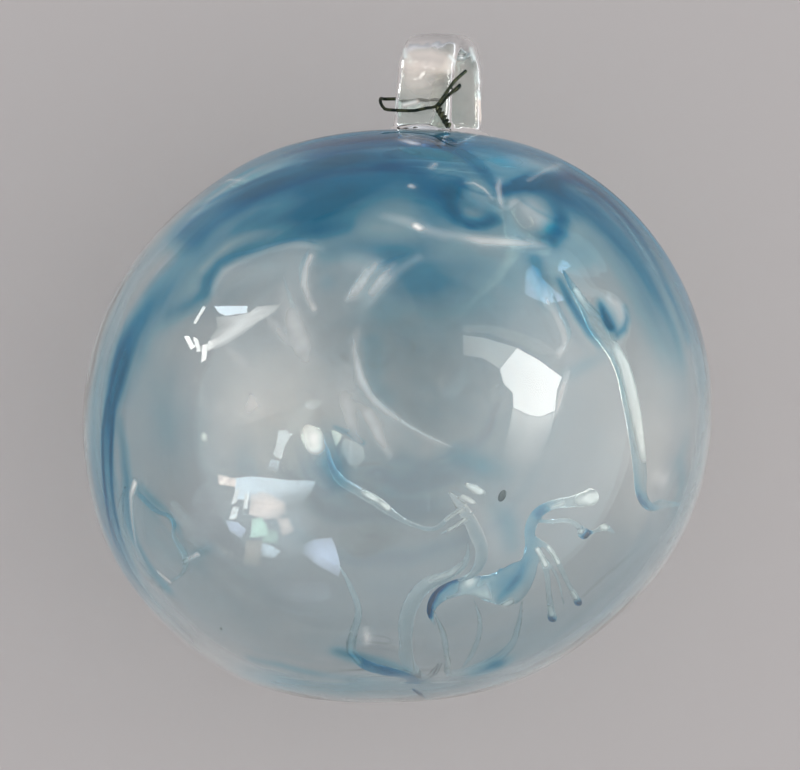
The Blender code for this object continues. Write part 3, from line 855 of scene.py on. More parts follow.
# The strands' routes, as drawSeen takes them.
strands = {
    "sideThread": [[
        (559, 272, 0.0, 0.4), (571, 294, 0.2, 1.3), (586, 316, 0.4, 1.7), (602, 342, 0.6, 2.0),
        (616, 366, 0.8, 2.3), (625, 400, 0.8, 2.5), (631, 440, 0.7, 2.2), (634, 472, 0.5, 1.9),
        (635, 492, 0.3, 1.6), (642, 503, 0.1, 1.5), (656, 501, 0.0, 1.2), (672, 501, 0.0, 0.5),
    ]],
    "bubbleEdge": [[
        (352, 325, 0.0, 0.2), (356, 352, 0.1, 0.4), (364, 384, 0.1, 0.6), (382, 406, 0.1, 0.6),
        (406, 424, 0.1, 0.5), (434, 439, 0.1, 0.4), (452, 447, 0.0, 0.2),
    ], [
        (548, 296, 0.0, 0.3), (557, 315, 0.1, 0.7), (565, 334, 0.1, 0.8), (560, 352, 0.1, 0.3),
    ]],
    "lobeFold": [[
        (214, 290, 0.0, 0.3), (220, 272, 0.1, 0.6), (234, 262, 0.1, 0.7), (256, 256, 0.1, 0.7),
        (280, 248, 0.1, 0.7), (300, 244, 0.1, 0.6), (322, 249, 0.0, 0.3),
    ], [
        (312, 252, 0.0, 0.3), (305, 268, 0.2, 0.8), (304, 284, 0.2, 0.9), (309, 298, 0.1, 0.7),
        (316, 310, 0.0, 0.3),
    ], [
        (286, 280, 0.0, 0.3), (294, 305, 0.1, 0.8), (303, 330, 0.1, 0.7), (309, 344, 0.0, 0.3),
    ], [
        (346, 306, 0.0, 0.3), (360, 284, 0.1, 0.8), (382, 268, 0.1, 0.8), (412, 256, 0.0, 0.3),
    ]],
    "leftFold": [[
        (134, 484, 0.0, 0.4), (129, 505, 0.1, 0.8), (132, 535, 0.2, 0.9), (143, 562, 0.2, 0.9),
        (171, 584, 0.0, 0.4),
    ], [
        (135, 484, 0.0, 0.4), (148, 494, 0.1, 0.8), (163, 508, 0.1, 0.8), (179, 518, 0.1, 0.7),
        (180, 532, 0.1, 0.7), (191, 553, 0.1, 0.9), (171, 582, 0.0, 0.4),
    ]],
    "middleStrand": [[
        (322, 432, 0.0, 0.2), (327, 446, 0.1, 0.6), (332, 464, 0.2, 1.1), (341, 479, 0.3, 1.5),
        (358, 489, 0.5, 1.5), (380, 502, 0.6, 1.6), (396, 514, 0.6, 1.0), (412, 522, 0.6, 0.7),
        (434, 526, 0.5, 0.8), (448, 515, 0.4, 0.8), (464, 504, 0.1, 0.5),
    ], [
        (438, 532, 0.4, 0.3), (456, 523, 0.3, 0.8), (476, 507, 0.1, 0.3),
    ], [
        (448, 490, 0.1, 0.5), (462, 508, 0.5, 1.8), (475, 532, 0.8, 2.2), (480, 552, 1.0, 1.9),
        (472, 569, 1.0, 1.2), (456, 577, 1.0, 0.5),
    ], [
        (464, 483, 0.1, 0.6), (474, 488, 0.2, 1.4), (484, 492, 0.1, 0.6),
    ], [
        (459, 493, 0.1, 0.5), (467, 498, 0.2, 1.0), (475, 502, 0.1, 0.5),
    ]],
    "leftStrand": [[
        (340, 562, 0.0, 0.3), (345, 570, 0.1, 0.6), (352, 584, 0.2, 0.9), (359, 604, 0.3, 1.1),
        (354, 630, 0.3, 1.4), (353, 645, 0.2, 1.7), (366, 658, 0.1, 1.8), (388, 665, 0.1, 1.6),
        (404, 670, 0.1, 1.4), (420, 680, 0.0, 1.1), (446, 683, 0.0, 0.4),
    ]],
    "paleLoop": [[
        (467, 538, 0.5, 0.3), (464, 558, 0.6, 1.0), (448, 571, 0.8, 1.5), (426, 581, 0.8, 2.1),
        (411, 600, 0.7, 2.4), (405, 625, 0.6, 2.3), (407, 648, 0.5, 2.0), (418, 668, 0.3, 1.5),
        (442, 684, 0.0, 0.5),
    ], [
        (519, 594, 1.0, 0.3), (515, 620, 0.9, 0.9), (505, 642, 0.7, 1.1), (480, 660, 0.5, 1.3),
        (455, 668, 0.3, 1.2), (446, 650, 0.5, 0.9), (442, 628, 0.7, 1.0), (432, 604, 1.0, 0.3),
    ], [
        (472, 594, 1.0, 0.3), (478, 618, 0.8, 0.8), (472, 642, 0.6, 0.8), (458, 664, 0.3, 0.4),
    ]],
}

strandColours = {
    "sideThread": {
        "blue": [
            (0.9, [(606, 356, 0.1), (617, 385, 0.2), (624, 430, 0.2), (629, 470, 0.2), (631, 492, 0.3)]),
            (0.6, [(560, 278, 0.5), (568, 298, 0.4), (582, 318, 0.25)]),
            (0.9, [(634, 498, 0.5), (640, 505, 0.45), (647, 506, 0.2)]),
            (0.4, [(652, 497, 0.5), (664, 496, 0.5), (674, 499, 0.3)]),
        ],
        # painted highlights: a glint near the top and a bright line down the thread's right side
        "milk": [
            (0.35, [(572, 294, 0.9), (578, 303, 0.5), (592, 322, 0.25), (606, 344, 0.2)]),
            (0.55, [
                (611, 348, 0.3), (620, 366, 1.6), (626, 388, 2.4), (631, 412, 2.0), (635, 436, 1.2),
                (638, 458, 0.5),
            ]),
        ],
    },
    "leftFold": {
        "blue": [(1.0, [(150, 496, 0.1), (178, 522, 0.15)])],
        # painted glint
        "milk": [(0.4, [(190, 558, 0.4), (199, 553, 0.6)])],
    },
    "middleStrand": {
        "blue": [(1.2, [(324, 438, 0.06), (328, 452, 0.06), (333, 468, 0.03)])],
        "teal": [(1.8, [(326, 448, 0.15), (332, 466, 0.15), (342, 482, 0.1)])],
        # painted highlights and glints on the strands
        "milk": [
            (0.35, [(364, 491, 0.3), (372, 495, 1.3), (380, 500, 0.5), (388, 506, 1.1)]),
            (0.6, [(468, 484, 0.8), (478, 490, 1.2)]), (0.45, [(462, 495, 0.7), (471, 500, 1.0)]),
            (0.3, [(446, 518, 0.4), (461, 508, 0.6)]), (0.3, [(448, 528, 0.5), (464, 517, 0.6)]),
            (0.3, [(340, 470, 0.3), (346, 474, 0.3)]),
        ],
    },
    "leftStrand": {
        "blue": [(1.5, [(366, 658, 0.5), (390, 666, 0.5), (420, 680, 0.5)])],
        # painted highlight at the strand's bend
        "milk": [(0.4, [(352, 628, 0.2), (350, 644, 0.8), (358, 655, 0.3)])],
    },
    "paleLoop": {
        "milk": [
            (0.4, [(464, 558, 0.1), (450, 570, 0.4), (428, 578, 0.2)]),
            (0.3, [(446, 650, 0.4), (450, 664, 0.4)]),
        ],
    },
}


def makeStrands():
    for name, routes in strands.items():
        finishStrand(name, [drawSeen(route) for route in routes], strandColours.get(name, {}))


makeStrands()
print("strands drawn")

# The blue ribbon with its neck, its bright end, the drop and the two fingers, as drawSeen takes them.
ribbon = {
    "spread": 1.7, "grain": 0.2, "smoothing": 4,
    "band": [
        (434, 620, 1.2, 0.4), (430, 606, 1.4, 1.3), (437, 593, 1.6, 2.0), (452, 585, 1.9, 2.4),
        (472, 582, 2.0, 2.7), (490, 584, 2.0, 4.2), (505, 582, 2.0, 5.6), (517, 572, 1.9, 4.4),
        (526, 560, 1.8, 2.6), (528, 546, 1.7, 1.9), (529, 534, 1.6, 1.6),
    ],
    "strands": [
        [
            (528, 550, 1.7, 1.3), (527, 538, 1.7, 1.5), (528, 524, 1.6, 1.7), (535, 511, 1.3, 1.6),
            (549, 503, 1.1, 1.4), (566, 500, 0.9, 1.6), (580, 497, 0.6, 2.2), (592, 492, 0.3, 1.6),
        ],
        [
            (532, 518, 1.4, 0.5), (548, 519, 1.4, 0.7), (564, 518, 1.2, 0.7), (577, 526, 1.0, 1.0),
            (580, 530, 0.9, 1.2),
        ],
        [(580, 530, 0.9, 0.8), (590, 528, 0.7, 0.6), (600, 524, 0.4, 1.1), (609, 530, 0.2, 0.4)],
        [
            (531, 538, 1.7, 0.8), (537, 552, 1.6, 1.0), (543, 568, 1.3, 0.9), (545, 588, 1.0, 0.9),
            (548, 610, 0.7, 1.2),
        ],
        [
            (533, 536, 1.7, 0.8), (546, 546, 1.6, 0.9), (555, 560, 1.4, 0.9), (563, 577, 1.0, 0.8),
            (573, 595, 0.7, 1.0),
        ],
        [(538, 550, 1.6, 0.4), (551, 568, 1.4, 0.6), (560, 600, 1.2, 0.3)],
    ],
    "beads": [
        (548, 611, 0.6, 1.5), (573, 596, 0.6, 1.3), (579, 530, 0.8, 1.8), (586, 495, 0.6, 2.5),
        (600, 524, 0.4, 1.2),
    ],
    "colours": {
        "blue": [
            (1.5, [
                (432, 600, 0.1), (448, 588, 0.15), (470, 582, 0.08), (484, 584, 0.03), (500, 582, 0.12),
                (514, 574, 0.12), (523, 560, 0.06), (527, 545, 0.05), (529, 530, 0.1),
            ]),
            (0.6, [(497, 595, 0.15), (508, 586, 0.25), (518, 573, 0.25), (524, 558, 0.12)]),
            (0.5, [
                (428, 612, 1.0), (429, 601, 1.1), (436, 589, 1.0), (447, 580, 0.8), (460, 576, 0.6),
                (482, 574, 0.5), (498, 568, 0.5), (512, 559, 0.5), (521, 546, 0.3),
            ]),
            (0.8, [(536, 512, 0.4), (541, 508, 0.4), (547, 505, 0.15)]),
            (0.4, [(547, 614, 1.0), (549, 615, 1.0)]),
            (0.4, [(574, 598, 1.0), (576, 598, 1.0)]),
            (0.5, [(582, 534, 1.0), (584, 531, 1.0)]),
            (0.35, [(585, 487, 0.8), (593, 485, 1.0), (598, 490, 0.9)]),
        ],
        "teal": [
            (2.2, [
                (440, 592, 0.35), (470, 582, 0.15), (500, 582, 0.35), (520, 568, 0.35), (527, 545, 0.35),
                (529, 524, 0.4), (538, 510, 0.35), (550, 503, 0.1),
            ]),
        ],
        # mostly painted highlights and glints on the ribbon, its bright end, the fingertips and the beads
        "milk": [
            (0.7, [(463, 583, 0.5), (469, 579, 1.3), (474, 576, 0.5)]),
            (0.5, [(484, 580, 0.1), (486, 590, 0.25), (491, 599, 0.15)]),
            (0.4, [(495, 607, 0.5), (501, 602, 1.0), (509, 597, 0.5)]),
            (0.9, [(577, 498, 0.5), (586, 496, 1.4), (592, 494, 1.0)]),
            (0.3, [(549, 506, 0.3), (560, 502, 0.4)]),
            (0.35, [(546, 603, 0.8), (548, 609, 1.3)]),
            (0.3, [(568, 588, 0.8), (571, 593, 1.2)]),
            (0.3, [(574, 529, 0.9), (577, 529, 1.0)]),
            (0.4, [(598, 524, 0.9), (600, 524, 1.0)]),
            (0.3, [(535, 547, 1.0), (539, 554, 0.6), (543, 562, 1.1)]),
            (0.25, [(546, 545, 0.9), (551, 552, 0.5), (555, 560, 0.8)]),
            (0.6, [(446, 594, 0.15), (484, 592, 0.25)]), (0.9, [(460, 590, 0.15), (478, 588, 0.25)]),
        ],
    },
}


def makeRibbon():
    parts = [drawSeen(ribbon["band"], ribbon["spread"])]
    parts += [drawSeen(route) for route in ribbon["strands"]]
    for across, down, deeper, size in ribbon["beads"]:
        parts.append(drawBead(wallAt(across, down, 1, deeper + size / 2 + clearance), size))
    finishStrand("blueRibbon", parts, ribbon["colours"], ribbon["grain"], ribbon["smoothing"])


makeRibbon()
print("ribbon drawn")

# Two dark specks in the glass. A place has its photo pixel, width, height and lean in the picture.
specks = {
    "depth": 0.2, "thick": 0.3, "grain": 0.08,
    "places": [(500, 494, 1.1, 1.9, -28), (210, 646, 0.5, 1.1, -10)],
}


def darkSpeck():
    material, shader, start, place = newMaterial("darkSpeck", 0.6, {})
    cloud = start.node("ShaderNodeTexNoise", {}, {"Vector": place, "Scale": 900.0, "Detail": 2.0})
    shade = cloud.between(0.35, 0.65).blend((0.02, 0.035, 0.035, 1), (0.07, 0.09, 0.08, 1))
    feed(shader, "Base Color", shade)
    return material


def makeSpecks():
    parts = []
    for across, down, width, height, turn in specks["places"]:
        bead = drawBead(wallAt(across, down, 1, specks["depth"] + clearance), 1.0)
        bead.scale = (width, height, specks["thick"])
        bead.rotation_euler.z = roll + math.radians(turn)
        parts.append(bead)
    piece = fuse("specks", parts, specks["grain"], 2)
    piece.data.materials.append(darkSpeck())
    finishPiece(piece)


makeSpecks()


# The loop, in millimetres: an arch of flat strap on a round pad, leaning and turned as it was pressed on.
loop = {
    "height": 16.4, "depth": 15.6, "strapWidth": 10.2, "thick": 3.55, "squareness": 3.2, "sink": 2.2,
    "padWidth": 19.4, "padRise": 2.0, "padDrop": 0.9, "bite": 1.0, "lean": 5.5, "eyeTurn": 25.0, "steps": 28,
    "grain": 0.24, "lumpSize": 4.5, "lumpDepth": 0.5,
    # strokes over the photo's pixels, as on the ball
    "window": [
        (1.0, [(410, 57, 0.4), (430, 58, 0.5), (448, 64, 0.4)]),
        (1.2, [(409, 69, 0.5), (430, 70, 0.6), (447, 74, 0.45)]), (1.8, [(412, 86, 0.4), (432, 92, 0.2)]),
        # the two strokes on this line are painted glints: orange-cream on the right leg, yellow at the foot
        (0.5, [(480, 98, 0.8), (482, 108, 0.9), (482, 117, 0.7)]), (0.3, [(404, 109, 0.6), (417, 106, 0.7)]),
    ],
    # painted shade over the strap's top and in dark lines across its lower front
    "smoke": [
        (1.3, [(408, 44, 0.08), (425, 38, 0.22), (445, 40, 0.27), (462, 47, 0.24), (473, 58, 0.15)]),
        (0.4, [(430, 83, 0.15), (442, 81, 0.3), (455, 80, 0.25)]),
        (0.4, [(418, 96, 0.1), (436, 91, 0.2), (452, 88, 0.15)]),
    ],
    "glints": [
        (0.35, [(404, 52, 0.5), (405, 60, 0.6)]), (0.3, [(449, 62, 0.5), (454, 67, 0.6), (454, 74, 0.3)]),
        (0.35, [(471, 50, 0.5), (474, 58, 0.7)]), (0.3, [(477, 70, 0.3), (479, 80, 0.5)]),
        (0.3, [(479, 90, 0.7), (480, 96, 0.8)]),
        (0.3, [(396, 104, 0.7), (395, 116, 0.6)]), (0.3, [(404, 108, 0.5), (415, 106, 0.5)]),
    ],
}


# The point on a pixel's line of sight at a height above the floor.
def atHeight(across, down, height):
    aim = sight(across, down)
    return cameraPlace + aim * (height - cameraPlace.z) / aim.z


# The arch of strap, standing on the origin.
def drawStrap():
    across = loop["depth"] / 2 - loop["thick"] / 2
    tall = loop["height"] - loop["thick"] / 2
    arch = [(across, -loop["sink"])]
    for step in range(loop["steps"] + 1):
        angle = math.pi * step / loop["steps"]
        shares = (math.cos(angle), math.sin(angle))
        part = [math.copysign(abs(share) ** (2 / loop["squareness"]), share) for share in shares]
        arch.append((across * part[0], tall * part[1]))
    arch.append((-across, -loop["sink"]))
    bpy.ops.curve.primitive_bezier_curve_add(location=(0, 0, 0))
    strap = bpy.context.object
    strap.data.dimensions = "2D"
    strap.data.fill_mode = "NONE"
    spline = strap.data.splines[0]
    spline.bezier_points.add(len(arch) - 2)
    for point, (forwards, outwards) in zip(spline.bezier_points, arch):
        point.co = Vector((forwards, outwards, 0)) * mm
        point.handle_left_type = point.handle_right_type = "AUTO"
    strap.data.bevel_depth = loop["thick"] / 2 * mm
    strap.data.bevel_resolution = 8
    strap.data.extrude = (loop["strapWidth"] - loop["thick"]) / 2 * mm
    strap.data.resolution_u = 3
    strap.data.use_fill_caps = True
    bpy.ops.object.convert(target="MESH")
    return bpy.context.object


def drawPad():
    size = (loop["padWidth"] / 2, loop["padRise"] + loop["padDrop"], loop["padWidth"] / 2)
    place = (0, -loop["padDrop"] * mm, 0)
    bpy.ops.mesh.primitive_uv_sphere_add(segments=48, ring_count=24, radius=mm, location=place, scale=size)
    return bpy.context.object


# Which way the loop faces on the ball: its front, its top and the way through its eye.
def loopAxes():
    eye = math.radians(loop["eyeTurn"])
    lean = Matrix.Rotation(math.radians(loop["lean"]), 3, "Z")
    forwards = lean @ Vector((-math.sin(eye), 0, math.cos(eye)))
    outwards = lean @ Vector((0, 1, 0))
    through = lean @ Vector((math.cos(eye), 0, math.sin(eye)))
    return Matrix((forwards, outwards, through)).transposed().to_4x4()


def makeLoop():
    bpy.ops.object.select_all(action="DESELECT")
    piece = fuse("clearLoop", [drawStrap(), drawPad()], loop["grain"], 9)
    bpy.ops.object.mode_set(mode="EDIT")
    bpy.ops.mesh.select_all(action="SELECT")
    cut = (0, -loop["bite"] * mm, 0)
    bpy.ops.mesh.bisect(plane_co=cut, plane_no=(0, 1, 0), use_fill=True, clear_inner=True)
    bpy.ops.object.mode_set(mode="OBJECT")
    piece = fuse("clearLoop", [piece], loop["grain"], 3)
    lumps = bpy.data.textures.new("lumps", "CLOUDS")
    lumps.noise_scale = loop["lumpSize"] * mm
    press(piece, "lumps", np.ones(len(piece.data.vertices)), loop["lumpDepth"], lumps)
    piece.matrix_world = Matrix.Translation(skinAt(0, 0)) @ loopAxes()
    seat = piece.modifiers.new("seat", "SHRINKWRAP")
    seat.target = shell
    seat.wrap_mode = "OUTSIDE"
    seat.offset = clearance * mm
    applyAll(piece)
    bpy.ops.object.select_all(action="DESELECT")
    piece.select_set(True)
    bpy.ops.object.transform_apply(location=True, rotation=True, scale=True)
    bare = {"window": 0.0, "smoke": 0.0, "glints": 0.0}
    paintSeen(piece, loop, bare, lambda across, down: atHeight(across, down, centre.z))
    piece.data.materials.append(clearGlass())
    finishPiece(piece, ["hanging_loop"])


windowTint, glintTint = (0.95, 0.81, 0.72, 1), (0.92, 1.0, 0.97, 1)


def clearGlass():
    look = {"IOR": 1.45, "Transmission Weight": 1.0, "Specular IOR Level": 0.6}
    material, shader, start, place = newMaterial("clearGlass", 0.05, look)
    cloud = start.node("ShaderNodeTexNoise", {}, {"Vector": place, "Scale": 150.0, "Detail": 2.0})
    feed(shader, "Base Color", cloud.between(0.3, 0.7).blend((0.66, 0.76, 0.72, 1), (0.88, 0.90, 0.86, 1)))
    window, smoke, glints = [painted(start, name) for name in ("window", "smoke", "glints")]
    glass = Sum(material.node_tree, shader.outputs["BSDF"])
    # pale pink frost on the strap's front, then painted shade, then painted highlights as glints
    pale = frost(start, glass, windowTint, 0.06 * cloud + window)
    show(material, frost(start, frost(start, pale, paintedShadeTint, smoke), glintTint, glints))
    return material


def darkWire():
    material, shader, start, place = newMaterial("darkWire", 0.4, {"Metallic": 0.9})
    cloud = start.node("ShaderNodeTexNoise", {}, {"Vector": place, "Scale": 900.0, "Detail": 2.0})
    shade = cloud.between(0.35, 0.65).blend((0.008, 0.015, 0.012, 1), (0.05, 0.055, 0.03, 1))
    feed(shader, "Base Color", shade)
    feed(shader, "Roughness", 0.3 + 0.3 * cloud)
    return material


makeLoop()
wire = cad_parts["hanging_wire"]
wire.data.materials.clear()
wire.data.materials.append(darkWire())
print("loop and wire done")

# Floor and light.
floorLook = {"colour": (0.43, 0.39, 0.375, 1), "size": 3.0, "gap": 0.05}


def makeFloor():
    bpy.ops.mesh.primitive_plane_add(size=floorLook["size"], location=(0, 0, -floorLook["gap"] * mm))
    floor = bpy.context.object
    floor.name = "floor"
    floor.data.materials.append(newMaterial("paleFloor", 0.9, {"Base Color": floorLook["colour"]})[0])


makeFloor()

# Light cards. Each stands where the ball mirrors it at these pixels of the photo, in layer 0 or 2
# of the wall: brightness, layer, place, how bright its middle is, tint and outline. A third number
# in the outline is how bright that corner is. Those mirrored by the front stand far off. Those
# mirrored by the far side stand in the ball, at a share of the way up to the front, so that only
# the far side shows them.
glowing, yellow = (1.0, 0.78, 0.60), (1.0, 0.95, 0.76)
warm, cool, pink = (1.0, 0.99, 0.95), (0.80, 0.92, 1.0), (1.0, 0.78, 0.68)
green, violet = (0.68, 1.0, 0.80), (0.70, 0.78, 1.0)
cards = {
    "pane": (16, 0, 900, 1.0, warm, [
        (517, 348), (540, 361), (562, 377), (557, 390), (555, 411), (540, 417), (526, 414), (513, 407),
        (513, 393), (504, 384), (500, 369),
    ]),
    "paneFaint": (6, 0, 900, 1.0, warm, [
        (463, 335, 0.7), (485, 338), (517, 348), (500, 369), (483, 358), (463, 355, 0.7),
    ]),
    "paneTop": (2.6, 0, 900, 1.0, warm, [
        (463, 325), (490, 325), (515, 331), (540, 340), (560, 354), (540, 354), (517, 343), (487, 333),
        (463, 332),
    ]),
    "paneLow": (8, 0, 900, 0.5, warm, [
        (513, 408), (526, 415), (540, 418), (555, 412), (551, 430, 0.35), (545, 447, 0.12), (537, 466, 0.0),
        (520, 468, 0.0), (502, 466, 0.0), (505, 445, 0.2), (510, 425, 0.6),
    ]),
    "bar": (14, 0, 900, 1.0, cool, [(214, 306), (248, 306), (247, 313), (225, 316), (218, 312)]),
    "sheet": (9, 0, 900, 0.8, warm, [
        (216, 317, 0.3), (235, 316, 0.8), (255, 311, 0.8), (280, 305, 0.2), (264, 318, 0.3), (247, 331, 0.3),
        (228, 343, 0.4), (214, 350, 0.3), (210, 338, 0.3), (218, 328, 0.2),
    ]),
    "sill": (12, 0, 900, 0.6, warm, [
        (249, 313, 0.8), (256, 307, 0.6), (281, 304, 0.2), (275, 312, 0.3), (255, 323, 0.6), (235, 335, 0.7),
        (216, 346, 0.6), (220, 336, 0.6), (238, 323),
    ]),
    "slit": (12, 0, 900, 1.0, warm, [(203, 306), (206, 307), (196, 324), (193, 323)]),
    "sparkle": (18, 0, 900, 1.0, warm, [(184, 336), (189, 336), (195, 347), (191, 350)]),
    "sparkleTwo": (16, 0, 900, 1.0, warm, [(202, 345), (208, 344), (206, 360), (201, 363)]),
    "sparkleFour": (15, 0, 900, 1.0, warm, [(193, 337), (198, 339), (201, 351), (197, 352)]),
    "sparkleThree": (12, 0, 900, 1.0, warm, [(208, 341), (221, 337, 0.7), (215, 347, 0.7), (208, 351)]),
    "farGlow": (3.5, 2, 0.95, 1.0, glowing, [
        (198, 400, 0.0), (222, 352, 0.0), (280, 340, 0.0), (335, 362, 0.0), (352, 405, 0.0), (338, 455, 0.0),
        (280, 475, 0.0), (215, 465, 0.0),
    ]),
    "farMist": (4, 2, 0.88, 0.8, cool, [
        (238, 498, 0.3), (270, 500, 0.6), (300, 504, 0.4), (318, 520, 0.0), (312, 552, 0.2), (280, 560, 0.1),
        (250, 556, 0.1), (232, 528, 0.1),
    ]),
    "farStreak": (13, 2, 0.8, 1.0, pink, [
        (247, 403), (252, 398), (260, 403), (272, 411), (283, 422, 0.8), (279, 428, 0.8), (262, 417),
    ]),
    "farCross": (13, 2, 0.8, 0.8, warm, [
        (286, 415, 0.8), (295, 412, 0.8), (310, 399, 0.2), (324, 400, 0.1), (308, 420, 0.4), (299, 430, 0.6),
        (290, 437), (284, 432),
    ]),
    "farFoot": (18, 2, 0.79, 1.0, warm, [
        (278, 431), (287, 430), (290, 437), (284, 448), (281, 459), (273, 455), (277, 443),
    ]),
    "farFootEnd": (8, 2, 0.79, 0.8, cool, [(271, 459), (280, 461), (278, 472, 0.2), (267, 470, 0.2)]),
    "farBlob": (50, 2, 0.8, 1.0, yellow, [
        (301, 428, 0.3), (309, 425, 0.3), (320, 428, 0.3), (323, 440, 0.4), (321, 452, 0.1), (312, 453, 0.1),
        (305, 447, 0.2), (300, 436, 0.3),
    ]),
    "farKnot": (24, 2, 0.79, 0.8, yellow, [
        (331, 430), (338, 432, 0.8), (343, 436, 0.5), (339, 441, 0.7), (336, 447, 0.6),
    ]),
    "farPale": (9, 2, 0.81, 0.4, warm, [
        (344, 438, 0.5), (352, 440, 0.4), (363, 447, 0.6), (365, 458, 0.4), (356, 470, 0.2), (347, 462, 0.2),
        (341, 450, 0.3),
    ]),
    "farRung": (11, 2, 0.79, 0.5, warm, [(350, 441, 0.6), (353, 442, 0.6), (352, 466, 0.2), (348, 464, 0.2)]),
    "farDot": (11, 2, 0.79, 1.0, yellow, [
        (201, 434, 0.3), (204, 432, 0.6), (207, 434, 0.5), (207, 440, 0.4), (204, 442, 0.3), (201, 440, 0.3),
    ]),
    "farBarEnd": (20, 2, 0.79, 1.0, pink, [
        (218, 475), (224, 476), (236, 479), (236, 487, 0.7), (228, 486, 0.7), (219, 484),
    ]),
    "farBar": (13, 2, 0.84, 1.0, cool, [
        (236, 478), (250, 476), (270, 478), (290, 480, 0.9), (316, 481, 0.7), (311, 493, 0.3),
        (300, 505, 0.0), (282, 504, 0.3), (268, 500, 0.6), (257, 500, 0.5), (246, 500, 0.6), (234, 500, 0.6),
    ]),
    "farBarLeft": (18, 2, 0.8, 0.9, cool, [
        (238, 479, 0.8), (254, 477, 0.4), (252, 488, 0.5), (247, 497, 0.6), (240, 500, 0.8), (233, 498, 0.8),
    ]),
    "farSlat": (22, 2, 0.78, 1.0, warm, [(236, 489), (240, 490), (236, 503), (231, 504)]),
    "farSlatTwo": (18, 2, 0.78, 1.0, warm, [(245, 493), (249, 494), (247, 508), (243, 510)]),
    "farSlatThree": (20, 2, 0.79, 1.0, warm, [(233, 507), (239, 507), (236, 519), (229, 519)]),
    "farSlatFour": (10, 2, 0.8, 0.8, violet, [
        (225, 520, 0.6), (238, 522, 0.8), (246, 530, 0.6), (242, 539, 0.3), (230, 532, 0.4),
    ]),
    "farPink": (17, 2, 0.8, 1.0, pink, [
        (251, 495, 0.3), (262, 491, 0.3), (273, 496, 0.5), (285, 503, 0.5), (286, 513, 0.3), (276, 519, 0.3),
        (262, 519, 0.4), (249, 514, 0.5),
    ]),
    "farPinkLow": (11, 2, 0.79, 0.9, pink, [
        (276, 518, 0.4), (288, 518, 0.7), (295, 530, 0.4), (283, 537, 0.4),
    ]),
    "farGreen": (12, 2, 0.79, 1.0, green, [
        (252, 519, 0.7), (261, 517, 0.8), (267, 525, 0.7), (268, 536, 0.5), (250, 538, 0.7),
    ]),
    "farGreenLow": (8, 2, 0.81, 0.8, green, [
        (262, 527, 0.5), (278, 532, 0.5), (278, 544, 0.3), (262, 542, 0.5),
    ]),
    "farCyan": (11, 2, 0.79, 0.9, cool, [
        (260, 543, 0.4), (268, 544, 0.8), (281, 551, 0.6), (274, 558, 0.5), (262, 556, 0.3),
    ]),
    "farBrown": (5, 2, 0.79, 0.7, glowing, [
        (246, 540, 0.5), (262, 541, 0.5), (260, 566, 0.2), (243, 565, 0.2),
    ]),
    "farViolet": (13, 2, 0.81, 0.9, violet, [
        (303, 545, 0.1), (314, 539, 0.4), (332, 538, 0.5), (337, 550, 0.7), (341, 568, 0.6), (339, 577, 0.2),
        (326, 570, 0.4), (313, 562, 0.4), (303, 554, 0.1),
    ]),
}


# A line of sight bent as it goes into the glass or out of it.
def bend(aim, normal):
    slant = abs(aim.dot(normal))
    ratio = 1 / ballLook["IOR"] if aim.dot(normal) < 0 else ballLook["IOR"]
    inwards = normal if aim.dot(normal) < 0 else -normal
    return aim * ratio + inwards * (ratio * slant - math.sqrt(1 - ratio**2 * (1 - slant**2)))


# Where a pixel's line of sight is mirrored by a layer of the wall, and its heading from there.
def mirrored(across, down, layer):
    aim, spot = sight(across, down), cameraPlace
    for crossed in range(layer + 1):
        _, spot, normal, face = shell.ray_cast(spot + aim * nudge, aim)
        around = [shell.data.vertices[corner] for corner in shell.data.polygons[face].vertices]
        shares = poly_3d_calc([vertex.co for vertex in around], spot)
        normal = sum((vertex.normal * share for vertex, share in zip(around, shares)), Vector()).normalized()
        if crossed < layer:
            aim = bend(aim, normal)
    return spot, aim.reflect(normal)


cardStep = 5  # pixels between a card's corners


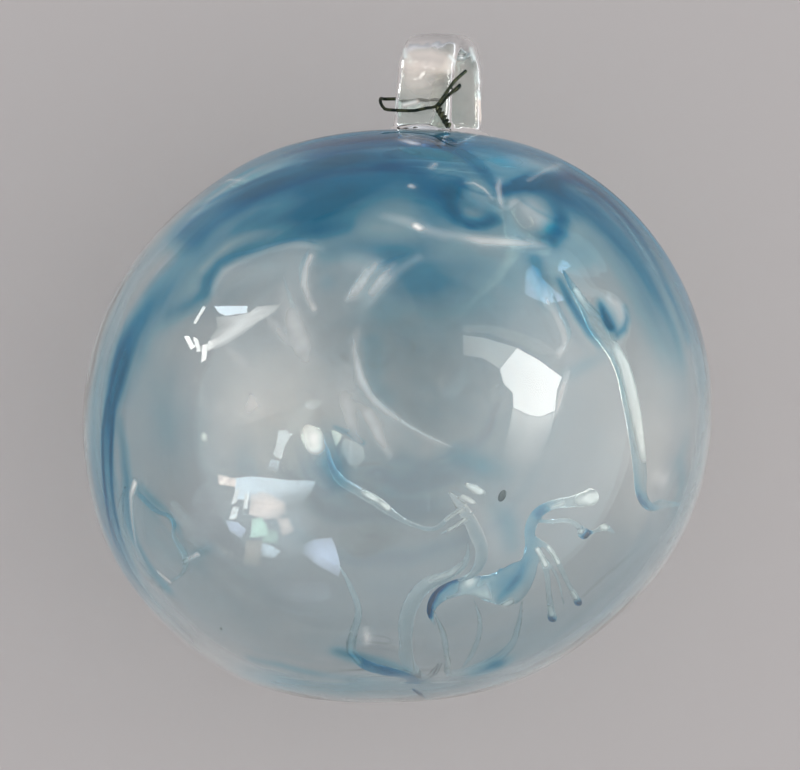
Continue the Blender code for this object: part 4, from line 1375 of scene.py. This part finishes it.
def makeCard(name, brightness, layer, far, middle, tint, outline):
    corners, glows = [], []
    outline = [(*corner, 1.0)[:3] for corner in outline]
    for first, last in zip(outline, outline[1:] + outline[:1]):
        steps = max(1, round(math.dist(first[:2], last[:2]) / cardStep))
        for step in range(steps):
            across, down, glow = [start + (end - start) * step / steps for start, end in zip(first, last)]
            spot, away = mirrored(across, down, layer)
            if layer:
                front = shell.ray_cast(spot + away * nudge, away)[1]
                corners.append(spot + (front - spot) * far)
            else:
                corners.append(spot + away * far * mm)
            glows.append(glow)
    count = len(corners)
    corners.append(sum(corners, Vector()) / count)
    glows.append(middle)
    mesh = bpy.data.meshes.new(name)
    mesh.from_pydata(corners, [], [(index, (index + 1) % count, count) for index in range(count)])
    card = bpy.data.objects.new(name, mesh)
    bpy.context.collection.objects.link(card)
    storeAmount(card, "glow", np.array(glows))
    for rays in ("camera", "diffuse", "shadow", "transmission"):
        setattr(card, "visible_" + rays, False)
    look = {"Base Color": (0, 0, 0, 1), "Specular IOR Level": 0.0}
    look.update({"Emission Strength": brightness, "Emission Color": (*tint, 1)})
    material, shader, start, place = newMaterial(name, 1.0, look)
    feed(shader, "Alpha", painted(start, "glow"))
    mesh.materials.append(material)


for name, look in cards.items():
    makeCard(name, *look)

# A soft room: bright above, darker towards the horizon and bright again on the window's side.
roomStops = [
    (0.0, (0.30, 0.31, 0.33, 1)),
    (0.5, (0.36, 0.38, 0.41, 1)),
    (0.68, (0.80, 0.83, 0.88, 1)),
    (1.0, (1.05, 1.07, 1.11, 1)),
]
windowSide = viewRight * 0.97 + Vector((0, 0, 0.24))


def lightRoom():
    world = bpy.data.worlds.new("softRoom")
    bpy.context.scene.world = world
    world.use_nodes = True
    start = Sum(world.node_tree, None)
    place = start.node("ShaderNodeTexCoord", {}, {}, "Generated")
    height = start.node("ShaderNodeSeparateXYZ", {}, {"Vector": place}, "Z")
    room = start.node("ShaderNodeValToRGB", {"stops": roomStops}, {"Fac": 0.5 + 0.5 * height})
    ways = {0: place, 1: windowSide}
    toWindow = start.node("ShaderNodeVectorMath", {"operation": "DOT_PRODUCT"}, ways, "Value")
    bright = toWindow.between(0.35, 0.95).blend((0, 0, 0, 1), (0.85, 0.88, 0.88, 1))
    both = {0: 1.0, 6: room, 7: bright}
    lit = start.node("ShaderNodeMix", {"data_type": "RGBA", "blend_type": "ADD"}, both, 2)
    feed(world.node_tree.nodes["Background"], "Color", lit)


lightRoom()
bpy.context.scene.view_settings.view_transform = "Standard"
bpy.context.scene.cycles.max_bounces = 24
bpy.context.scene.cycles.transmission_bounces = 24
print("floor and lights placed")
